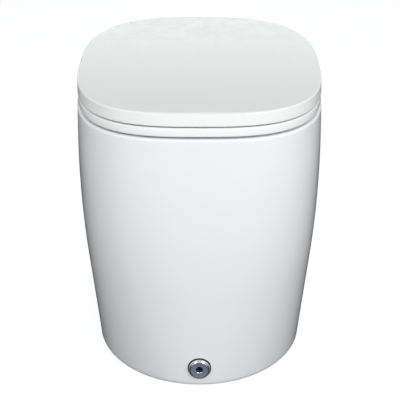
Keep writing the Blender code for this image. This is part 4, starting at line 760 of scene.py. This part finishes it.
GAP = 0.0003  # between two pieces that fit into each other
BOLT_X, BOLT_Y, BOLT_HOLE = 0.0627, 0.2785, 0.0045
SCREW_HOLE = 0.0021
BUTTON_HOLE, FACE_DEPTH = 0.0146, 0.0016
NUT_FACE_RADIUS, NUT_FACE_DEPTH, NUT_FACE_REACH = 0.0210, 0.0012, 0.016
RIM_INLET_Y, RIM_INLET_RADIUS = (0.04, 0.115), 0.0093
deck_below, deck_above = DECK_Z - DECK_THICKNESS - OVERRUN, DECK_Z + OVERRUN
inlet_start, inlet_end = ((0.0, y, MANIFOLD_Z) for y in RIM_INLET_Y)
nut_start, nut_end = at_button(-WALL - NUT_FACE_REACH), at_button(NUT_FACE_DEPTH - WALL)
cutters = [
    rod("bore", trap_end, TRAP_BORE),
    prism("well", well_outline(0.0), deck_below, deck_above),
    prism("ledge", well_outline(-LEDGE_WIDTH), DECK_Z - LEDGE_DEPTH, deck_above),
    arch_cutter(),
    hole("button_hole", at_button(-WALL - OVERRUN), at_button(OVERRUN), BUTTON_HOLE),
    hole("button_face", at_button(-FACE_DEPTH), at_button(OVERRUN), FACE_RADIUS),
    hole("nut_face", nut_start, nut_end, NUT_FACE_RADIUS, 49),
    hole("rim_inlet", inlet_start, inlet_end, RIM_INLET_RADIUS),
]
for x in (-BOLT_X, BOLT_X):
    cutters.append(hole("bolt_hole", (x, BOLT_Y, deck_below), (x, BOLT_Y, deck_above), BOLT_HOLE))
for number in range(1, 5):
    low, high = box_of(f"cover_screw_{number}")
    x, y = ((low + high) / 2)[:2]
    cutters.append(hole("screw_hole", (x, y, low[2] - GAP), (x, y, DECK_Z), SCREW_HOLE, 24))
steps = [("UNION", rod("trapway", trap_route[3:], TRAP_BORE + TRAP_WALL))]
cut_and_join(body, steps + [("DIFFERENCE", cutter) for cutter in cutters])
finish_piece(
    body, "root", "white_glaze", glaze, "ceramic_body", "ceramic_bowl", "ceramic_trapway"
)


# %% [markdown]
# ## The seat
#
# The seat is a flat ring, 14.5 mm thick, whose outline follows the rim and whose opening
# is an oval over the bowl. Its edges are rounded: tightly outside, more softly where it
# is sat on. One closed loop of rings makes it, up the outside, over the top, down the
# opening and back underneath. Two ears take the hinge pins, and slots the brackets.

# %% Seat
SEAT_INSET = 0.0015
SEAT_EDGE, OPENING_EDGE, OPENING_LOW_EDGE = 0.003, 0.005, 0.0015
SEAT_LOW_Z, SEAT_THICKNESS = seat_low[2], 0.0145
SEAT_TOP_Z = SEAT_LOW_Z + SEAT_THICKNESS
OPENING = np.array((0.112, -0.090, 0.168, 0.140, 2.25, 2.25, SEAT_LOW_Z))
HINGE = np.array((0.0, body_high[1] - 0.0115, SEAT_TOP_Z + 0.005))
KNUCKLE_RADIUS = 0.0065
PIN_BORE, PIN_FROM_X, PIN_TO_X = 0.0033, 0.041, 0.075
SEAT_EAR_X = (0.042, 0.050)
SLOT_X, SLOT_FRONT_Y = (0.0507, 0.0750), 0.2650
GROOVE_RADIUS = 0.0104  # round the hinge line, clear of the dampers and the lid's saddle

rim_seat = inset(RIM, SEAT_INSET)
bottom_edge = rounding(rim_seat, SEAT_EDGE, SEAT_LOW_Z, SEAT_EDGE)[::-1]
top_edge = rounding(rim_seat, SEAT_EDGE, SEAT_TOP_Z, -SEAT_EDGE)
opening_edge = rounding(OPENING, -OPENING_EDGE, SEAT_TOP_Z, -OPENING_EDGE)[::-1]
opening_low = rounding(OPENING, -OPENING_LOW_EDGE, SEAT_LOW_Z, OPENING_LOW_EDGE)[::2]
top_face = blend_rings(top_edge[-1], opening_edge[0], np.linspace(0.0, 1.0, 9)[1:-1])
bottom_face = blend_rings(opening_low[-1], bottom_edge[0], np.linspace(0.0, 1.0, 7)[1:-1])
seat_rings = np.vstack((bottom_edge, top_edge, top_face, opening_edge, opening_low, bottom_face))
seat = surface("seat", plan_surface(seat_rings), wrap_rows=True)


def knuckle(name, low_x, high_x, web_z, up):
    """A hinge ear across X: a half circle round the hinge line and a web to its plate."""
    turn = np.linspace(0.0, np.pi, 17) + (np.pi if up else 0.0)
    outline = HINGE[1:] + KNUCKLE_RADIUS * np.column_stack((np.cos(turn), np.sin(turn)))
    outline = np.vstack((outline, (outline[-1, 0], web_z), (outline[0, 0], web_z)))
    rows = [np.column_stack((np.full(len(outline), x), outline)) for x in (low_x, high_x)]
    middle = outline.mean(0)
    return surface(name, np.array(rows), poles=((low_x, *middle), (high_x, *middle)))


def block(name, low, high):
    """A box between two corners, as a four-sided prism."""
    outline = ((low[0], low[1]), (high[0], low[1]), (high[0], high[1]), (low[0], high[1]))
    return prism(name, outline, low[2], high[2])


def pin_hole(side):
    """The bore of one hinge pin through ears and arm."""
    start, end = ((side * x, *HINGE[1:]) for x in (PIN_FROM_X, PIN_TO_X))
    return hole("pin_bore", start, end, PIN_BORE)


seat_steps = []
for side in (-1, 1):
    ends = sorted(side * x for x in SEAT_EAR_X)
    seat_steps.append(("UNION", knuckle("ear", *ends, SEAT_TOP_Z - SEAT_EDGE, False)))
for side in (-1, 1):
    ends = sorted(side * x for x in SLOT_X)
    slot_low = (ends[0], SLOT_FRONT_Y, SEAT_LOW_Z - OVERRUN)
    slot_high = (ends[1], body_high[1] + OVERRUN, HINGE[2] + KNUCKLE_RADIUS + OVERRUN)
    seat_steps.append(("DIFFERENCE", block("slot", slot_low, slot_high)))
    seat_steps.append(("DIFFERENCE", pin_hole(side)))
groove_start, groove_end = ((x, *HINGE[1:]) for x in (-PIN_FROM_X, PIN_FROM_X))
groove = hole("groove", groove_start, groove_end, GROOVE_RADIUS)
seat_steps.append(("DIFFERENCE", groove))
cut_and_join(seat, seat_steps)
finish_piece(seat, "seat", "white_gloss", gloss, "seat_plate")


# %% [markdown]
# ## The lid
#
# The lid is a thin shell over the whole top, with an upright side and a rounded edge.
# Along the front the top is drawn back in a shallow lens, where the fingers take hold. It
# catches the light, so close rings keep its two borders crisp. The rings run from the
# middle of the top outwards, down the side, round the lower lip and back inside.

# %% Lid outline and finger chamfer
LID_INSET = 0.0005
LID_LOW_Z, LID_TOP_Z = SEAT_TOP_Z + 0.002, lid_high[2]
LID_WALL = 0.004
LID_EDGE, LID_LOWER_EDGE, LID_INNER_EDGE = 0.0020, 0.002, 0.003
GRIP_REACH, GRIP_DROP, GRIP_HALF_WIDTH = 0.006, 0.0012, 0.105
CREASE_SHARE = 0.55  # how far into the rounded edge the lens's lower border lies
CREASE_ANGLE = 0.35  # where the rounded edge goes on below the crease
CREASE_MEET = 0.9  # how much of the crease's inset the first ring below it keeps


def grip_share(x, y):
    """1 at the middle of the front, falling with the square of x to 0 at the lens's ends."""
    share = np.clip(1 - (x / GRIP_HALF_WIDTH) ** 2, 0.0, 1.0)
    return np.where(y < WIDEST_Y, share, 0.0)


def lid_points(ring, back=0.0, drop=0.0):
    """One ring of the lid, drawn back and lowered along the front by the lens's share."""
    points = plan_surface([ring])[0]
    share = grip_share(points[:, 0], points[:, 1])
    points[:, 1] += back * share
    points[:, 2] -= drop * share
    return points


rim_lid = inset(RIM, LID_INSET)
top_ring = inset(rim_lid, LID_EDGE, LID_TOP_Z)
crease = inset(rim_lid, LID_EDGE * CREASE_SHARE, LID_TOP_Z - LID_EDGE / 8)
rows = []
for share in np.linspace(0.04, 0.985, 26):
    ring = top_ring.copy()
    ring[[0, 2, 3]] *= share
    rows.append(lid_points(ring, GRIP_REACH * share**6))
rows.append(lid_points(inset(top_ring, 0.0004), GRIP_REACH))
rows.append(lid_points(inset(top_ring, 0.0, LID_TOP_Z - 0.00003), GRIP_REACH - 0.0001))
first, last = lid_points(top_ring, GRIP_REACH), lid_points(crease, 0.0, GRIP_DROP)
for share in (0.06, 0.35, 0.65, 0.92, 1.0):
    rows.append(first * (1 - share) + last * share)
for t in np.linspace(CREASE_ANGLE, np.pi / 2, 8):
    fade = (1 - math.sin(t)) / (1 - math.sin(CREASE_ANGLE))
    amount = LID_EDGE * CREASE_SHARE * CREASE_MEET * fade
    height = LID_TOP_Z - LID_EDGE * (1 - math.cos(t)) - LID_EDGE / 8
    rows.append(lid_points(inset(rim_lid, amount, height), 0.0, GRIP_DROP * fade))
side_rows = np.linspace(LID_TOP_Z - LID_EDGE * 1.2, LID_LOW_Z + LID_LOWER_EDGE, 5)
rows += [lid_points(inset(rim_lid, 0.0, z)) for z in side_rows]
lower_edge = rounding(rim_lid, LID_LOWER_EDGE, LID_LOW_Z, LID_LOWER_EDGE)
rows += [lid_points(ring) for ring in lower_edge[1:]]
ceiling_z = LID_TOP_Z - LID_WALL
inner = inset(rim_lid, LID_WALL)
rows.append(lid_points(inset(inner, 0.0, LID_LOW_Z + 0.0005)))
rows.append(lid_points(inset(inner, 0.0, LID_LOW_Z + 0.008)))
inner_corner = rounding(inner, LID_INNER_EDGE, ceiling_z, -LID_INNER_EDGE)
rows += [lid_points(ring) for ring in inner_corner]
for share in np.linspace(0.985, 0.04, 14):
    ring = inset(inner, LID_INNER_EDGE, ceiling_z)
    ring[[0, 2, 3]] *= share
    rows.append(lid_points(ring))
grid = np.array(rows)[::-1]
lid = surface("lid", grid, poles=((0.0, WIDEST_Y, ceiling_z), (0.0, WIDEST_Y, LID_TOP_Z)))

# %% Lid ears, bosses and the rear opening
REAR_CUT_HALF_WIDTH, REAR_CUT_DEPTH = 0.088, 0.022
LID_EAR_X = (0.064, 0.074)
SADDLE_HALF_X, SADDLE_HALF_Y, SADDLE_SHIFT_X = 0.005, 0.00425, 0.0006
BOSS_RADIUS = 0.007
lid_steps = [
    ("DIFFERENCE", block(
        "rear_cut",
        (-REAR_CUT_HALF_WIDTH, body_high[1] - REAR_CUT_DEPTH, LID_LOW_Z - OVERRUN),
        (REAR_CUT_HALF_WIDTH, body_high[1] + OVERRUN, ceiling_z),
    ))
]
for side in (-1, 1):
    ends = sorted(side * x for x in LID_EAR_X)
    lid_steps.append(("UNION", knuckle("ear", *ends, ceiling_z + LID_WALL / 2, True)))
for side in (-1, 1):
    lid_steps.append(("DIFFERENCE", pin_hole(side)))
damper_low, damper_high = box_of("damper_right")
damper_x = (damper_low[0] + damper_high[0]) / 2 + SADDLE_SHIFT_X
lid_steps.append(("UNION", block(
    "saddle",
    (damper_x - SADDLE_HALF_X, HINGE[1] - SADDLE_HALF_Y, damper_high[2] + GAP),
    (damper_x + SADDLE_HALF_X, HINGE[1] + SADDLE_HALF_Y, ceiling_z + LID_WALL / 2),
)))
for number in range(1, 5):
    low, high = box_of(f"lid_bumper_{number}")
    x, y = ((low + high) / 2)[:2]
    boss = hole("boss", (x, y, high[2] + GAP), (x, y, ceiling_z + LID_WALL / 2), BOSS_RADIUS, 32)
    lid_steps.append(("UNION", boss))
cut_and_join(lid, lid_steps)
finish_piece(lid, "lid", "white_gloss", gloss, "lid_shell")


# %% [markdown]
# ## The foot button
#
# The button is turned: a polished chrome ring whose shoulder catches two highlights, a
# black seal under it, a blue-grey satin face that is dished and brushed round and round,
# and a dark blue lens deep in a hole with a polished edge. Each is a profile carried
# round the button's axis, which stands square to the leaning wall. The brushing is fine
# rings of noise in the roughness and the bump, because it is too fine for geometry. The
# polished edge is the same cap with another finish close to the axis.

# %% Button finishes
chrome = new_material(
    "polished_chrome", Base_Color=(0.80, 0.81, 0.83, 1.0), Metallic=1.0, Roughness=0.08
)
vary(chrome, noise(chrome, 120.0), "Roughness", 0.05, 0.14)
bump(chrome, (noise(chrome, 300.0), 0.00003, 0.10))

satin = new_material(
    "satin_steel", Base_Color=(0.21, 0.25, 0.31, 1.0), Metallic=0.25, Roughness=0.32
)


def axis_distance(material, start, along):
    """How far the surface is from a line: the length of (place - start) x along."""
    place = add_node(material, "TexCoord")
    away = add_node(material, "VectorMath", operation="SUBTRACT")
    away.inputs[1].default_value = tuple(start)
    cross = add_node(material, "VectorMath", operation="CROSS_PRODUCT")
    cross.inputs[1].default_value = tuple(along)
    length = add_node(material, "VectorMath", operation="LENGTH")
    link(material, place.outputs["Object"], away.inputs[0])
    link(material, away.outputs["Vector"], cross.inputs[0])
    link(material, cross.outputs["Vector"], length.inputs[0])
    return length.outputs["Value"]


def ring_noise(material, distance, scale):
    """Noise that changes only with a distance, in waves per metre."""
    times = add_node(material, "Math", operation="MULTIPLY")
    times.inputs[1].default_value = scale
    texture = add_node(
        material, "TexNoise", noise_dimensions="1D", Scale=1.0, Detail=2.0
    )
    link(material, distance, times.inputs[0])
    link(material, times.outputs[0], texture.inputs["W"])
    return texture.outputs["Fac"]


def where(material, mask, socket, value):
    """Where the mask is 1 a shader socket takes the value; elsewhere it keeps what it had."""
    target = shader_input(material, socket)
    kind = "RGBA" if target.type == "RGBA" else "FLOAT"
    mix = add_node(material, "Mix", data_type=kind)
    first, second = (s for s in mix.inputs if s.type == target.type and s.name in "AB")
    if target.is_linked:
        link(material, target.links[0].from_socket, first)
    else:
        first.default_value = target.default_value
    second.default_value = value
    link(material, mask, mix.inputs[0])
    link(material, next(s for s in mix.outputs if s.type == target.type), target)


BRUSHING = 5000.0  # waves per metre
POLISH_FROM, POLISH_FULL = 0.0064, 0.0061  # distances from the axis
POLISHED = {"Roughness": 0.06, "Metallic": 1.0, "Base Color": (0.78, 0.79, 0.81, 1.0)}
off_axis = axis_distance(satin, BUTTON_PLACE, BUTTON_OUT)
brushed = ring_noise(satin, off_axis, BRUSHING)
tint(satin, noise(satin, 260.0), (0.165, 0.215, 0.265), (0.265, 0.285, 0.375))
vary(satin, brushed, "Roughness", 0.28, 0.42)
bump(satin, (brushed, 0.00003, 0.25), (noise(satin, 300.0), 0.0002, 0.15))
polished = add_node(satin, "MapRange", **{"From Min": POLISH_FROM, "From Max": POLISH_FULL})
link(satin, off_axis, polished.inputs["Value"])
for socket, value in POLISHED.items():
    where(satin, polished.outputs["Result"], socket, value)

lens_blue = new_material(
    "dark_blue_lens", Base_Color=(0.0, 0.008, 0.07, 1.0), Roughness=0.06, IOR=1.40
)
tint(lens_blue, noise(lens_blue, 400.0), (0.0, 0.006, 0.055), (0.001, 0.012, 0.085))
vary(lens_blue, noise(lens_blue, 700.0), "Roughness", 0.04, 0.10)

black_rubber = new_material("dark_rubber", Base_Color=(0.025, 0.025, 0.026, 1.0), Roughness=0.65)
tint(black_rubber, noise(black_rubber, 200.0), (0.018, 0.018, 0.019), (0.034, 0.034, 0.035))
vary(black_rubber, noise(black_rubber, 500.0), "Roughness", 0.55, 0.75)
bump(black_rubber, (noise(black_rubber, 1500.0, detail=4.0), 0.00005, 0.3))

# %% Button pieces
BEZEL_RADIUS, BEZEL_HEIGHT = 0.0172, 0.0065
SHOULDER = np.array(((BEZEL_RADIUS, 0.0010), (BEZEL_RADIUS, 0.0039), (0.0165, 0.0046)))
CAP_RADIUS, CAP_THICKNESS, CAP_BELOW, CAP_DISH = 0.0138, 0.0024, 0.0003, 0.0012
LENS_RADIUS, LENS_DOME, LENS_RECESS = 0.0050, 0.0004, 0.0060
LENS_SUNK, HOLE_CHAMFER_IN, HOLE_CHAMFER_DOWN = 0.0046, 0.0009, 0.0007
LEDGE, NECK_RADIUS = 0.0010, 0.0110  # the lip at the barrel's mouth and what runs in it
BARREL_OUTSIDE, BARREL_INSIDE, BARREL_LOW = 0.0140, 0.0124, -0.026
SEAL_RADIUS, SEAL_TOP, SEAL_RING_GAP = 0.0186, 0.0004, 0.0002
SEAL_INSIDE, SEAL_LOW = 0.0143, -0.0013
STEM_RADIUS, GUIDE_RADIUS, GUIDE_DEPTH, STEM_LENGTH = 0.0050, 0.0118, 0.004, 0.012
BUTTON_SIDES = 160
cap_top = BEZEL_HEIGHT - CAP_BELOW
cap_low = cap_top - CAP_THICKNESS
bore = CAP_RADIUS + GAP


def quadratic(start, middle, end, count=5):
    """A curve (1-t)^2 start + 2t(1-t) middle + t^2 end."""
    start, middle, end = (np.asarray(p, float) for p in (start, middle, end))
    t = np.linspace(0.0, 1.0, count)[:, None]
    return (1 - t) ** 2 * start + 2 * t * (1 - t) * middle + t**2 * end


def rounded(corner, before, after, size):
    """A corner of a profile as a small curve from one side to the other."""
    corner, before, after = (np.asarray(p, float) for p in (corner, before, after))
    start, end = (corner + unit(side - corner) * size for side in (before, after))
    return quadratic(start, corner, end)


bezel_profile = np.vstack((
    ((BARREL_OUTSIDE, BARREL_LOW), (BARREL_OUTSIDE, 0.0)),
    rounded((BEZEL_RADIUS, 0.0), (BARREL_OUTSIDE, 0.0), (BEZEL_RADIUS, 1.0), 0.0002),
    quadratic(*SHOULDER, 16),
    rounded((bore, BEZEL_HEIGHT), SHOULDER[2], (bore, 0.0), 0.0004),
    ((bore, LEDGE), (NECK_RADIUS + GAP, LEDGE), (NECK_RADIUS + GAP, 0.0)),
    ((BARREL_INSIDE, 0.0), (BARREL_INSIDE, BARREL_LOW)),
))
bezel = turned("button_ring", bezel_profile, BUTTON_PLACE, BUTTON_OUT, BUTTON_SIDES, closed=True)
finish_piece(bezel, "root", "polished_chrome", chrome, "button_bezel", sharp_degrees=40)

gasket_profile = np.vstack((
    ((SEAL_RADIUS, SEAL_LOW),),
    rounded((SEAL_RADIUS, SEAL_TOP), (SEAL_RADIUS, SEAL_LOW), (0.0, SEAL_TOP), 0.0003),
    ((BEZEL_RADIUS + SEAL_RING_GAP, SEAL_TOP), (BEZEL_RADIUS + SEAL_RING_GAP, -GAP)),
    ((SEAL_INSIDE, -GAP), (SEAL_INSIDE, SEAL_LOW)),
))
gasket = turned("button_seal", gasket_profile, BUTTON_PLACE, BUTTON_OUT, BUTTON_SIDES, closed=True)
finish_piece(gasket, "root", "dark_rubber", black_rubber, "button_gasket")

recess = LENS_RADIUS + GAP
rim_of_hole = (recess + HOLE_CHAMFER_IN, cap_top - CAP_DISH)
foot_of_hole = (recess, cap_top - CAP_DISH - HOLE_CHAMFER_DOWN)
inner_edge = (CAP_RADIUS - 0.0003, cap_top - 0.0001)
cap_profile = np.vstack((
    ((STEM_RADIUS, cap_low - STEM_LENGTH), (STEM_RADIUS, -GAP - GUIDE_DEPTH)),
    ((GUIDE_RADIUS, -GAP - GUIDE_DEPTH), (GUIDE_RADIUS, -GAP), (NECK_RADIUS, -GAP)),
    ((NECK_RADIUS, cap_low), (CAP_RADIUS, cap_low)),
    rounded((CAP_RADIUS, cap_top), (CAP_RADIUS, cap_low), inner_edge, 0.0003),
    quadratic(inner_edge, (0.0100, cap_top - CAP_DISH), (0.0066, cap_top - CAP_DISH), 10)[1:],
    rounded(rim_of_hole, (CAP_RADIUS, cap_top - CAP_DISH), foot_of_hole, 0.0002),
    rounded(foot_of_hole, rim_of_hole, (recess, 0.0), 0.0002),
    ((recess, cap_top - LENS_RECESS),),
))
cap = turned("button_face", cap_profile, BUTTON_PLACE, BUTTON_OUT, BUTTON_SIDES)
finish_piece(cap, "button", "satin_steel", satin, "button_cap", sharp_degrees=40)

lens_low = cap_top - LENS_RECESS + GAP
lens_edge = cap_top - LENS_SUNK
dome = np.linspace(0.02, 1.0, 10)[:-1]
dome_heights = lens_edge + LENS_DOME * (1 - (1 - dome) ** 2)
dome_points = np.column_stack((LENS_RADIUS * (1 - dome), dome_heights))
lens_profile = np.vstack(((LENS_RADIUS, lens_low), (LENS_RADIUS, lens_edge - 0.0001), dome_points))
lens_piece = turned("button_dot", lens_profile, BUTTON_PLACE, BUTTON_OUT, BUTTON_SIDES)
finish_piece(lens_piece, "button", "dark_blue_lens", lens_blue, "button_lens", sharp_degrees=50)


# %% [markdown]
# ## The finishes of the other pieces
#
# The hinges, bumpers, pipes, valves, boxes, screws and clips are the CAD model's own
# pieces, and the record says which finish each takes. No real surface is quite even: a
# slow noise moves the colour a little, a finer one the roughness, the finest is a bump.

# %% Plain finishes
def plain(name, colour, roughness, metallic):
    """A simple finish with a little life in its colour and roughness."""
    material = new_material(
        name, Base_Color=(*colour, 1.0), Roughness=roughness, Metallic=metallic
    )
    low = tuple(c * 0.93 for c in colour)
    high = tuple(min(1.0, c * 1.05) for c in colour)
    tint(material, noise(material, 60.0), low, high)
    vary(material, noise(material, 150.0), "Roughness", roughness * 0.85, roughness * 1.2)
    bump(material, (noise(material, 600.0, detail=4.0), 0.00004, 0.2))
    return material


PLAIN = (  # name, colour, roughness, metallic
    ("pale_rubber", (0.72, 0.73, 0.71), 0.5, 0.0),
    ("stainless_steel", (0.60, 0.60, 0.61), 0.27, 1.0),
    ("brass", (0.70, 0.52, 0.24), 0.30, 1.0),
    ("grey_moulding", (0.40, 0.41, 0.42), 0.5, 0.0),
    ("black_moulding", (0.035, 0.035, 0.040), 0.45, 0.0),
    ("white_pipe", (0.76, 0.76, 0.74), 0.42, 0.0),
    ("coil_wrap", (0.36, 0.20, 0.08), 0.5, 0.0),
)
finishes = {
    "white_glaze": glaze,
    "white_gloss": gloss,
    "polished_chrome": chrome,
    "satin_steel": satin,
    "dark_blue_lens": lens_blue,
    "dark_rubber": black_rubber,
    **{values[0]: plain(*values) for values in PLAIN},
}
for part in frame["record"]["subparts"]:
    node = nodes[part["node"]]
    if not node.hide_render:
        node.data.materials.clear()
        node.data.materials.append(finishes[part["material_slot"]])
print("finishes:", len(finishes))

# %% [markdown]
# ## The return spring
#
# A steel coil inside the button's barrel, hidden at rest. Its inner end stands on the
# switch and its outer end pushes the cap out, so it shortens when the button goes in. The
# cap would run through a stiff copy, and this coil is one: it is made once, at rest,
# between the ends of the CAD model's spring, and follows neither the body nor the button.

# %% Spring
SPRING_RADIUS, SPRING_WIRE, SPRING_TURNS = 0.0085, 0.0007, 4
END_TURN = 0.75  # how much of a turn lies nearly flat at each end
END_RISE = 0.08  # the share of the rise that it takes
POINTS_PER_TURN, WIRE_SIDES = 32, 12
across = np.array((1.0, 0.0, 0.0))
upward = np.cross(BUTTON_OUT, across)
stock = nodes["return_spring"]
stock_points = np.array([stock.matrix_world @ v.co for v in stock.data.vertices])
along_axis = (stock_points - BUTTON_PLACE) @ BUTTON_OUT
inner_end, outer_end = along_axis.min() + SPRING_WIRE, along_axis.max() - SPRING_WIRE
turns = np.linspace(0.0, SPRING_TURNS, POINTS_PER_TURN * SPRING_TURNS + 1)
turn_marks = (0.0, END_TURN, SPRING_TURNS - END_TURN, SPRING_TURNS)
rise = inner_end + (outer_end - inner_end) * np.interp(
    turns, turn_marks, (0.0, END_RISE, 1.0 - END_RISE, 1.0)
)
around = 2 * np.pi * turns[:, None]
coil = (
    BUTTON_PLACE
    + rise[:, None] * BUTTON_OUT
    + SPRING_RADIUS * (np.cos(around) * across + np.sin(around) * upward)
)
spring = rod("button_spring", coil, SPRING_WIRE, WIRE_SIDES)
spring.data.shade_smooth()
spring.data.materials.append(finishes["stainless_steel"])
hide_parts("return_spring")
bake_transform(spring)
print("spring from", inner_end.round(4), "to", outer_end.round(4), "m on the axis")

# %% The end
bpy.context.view_layer.update()
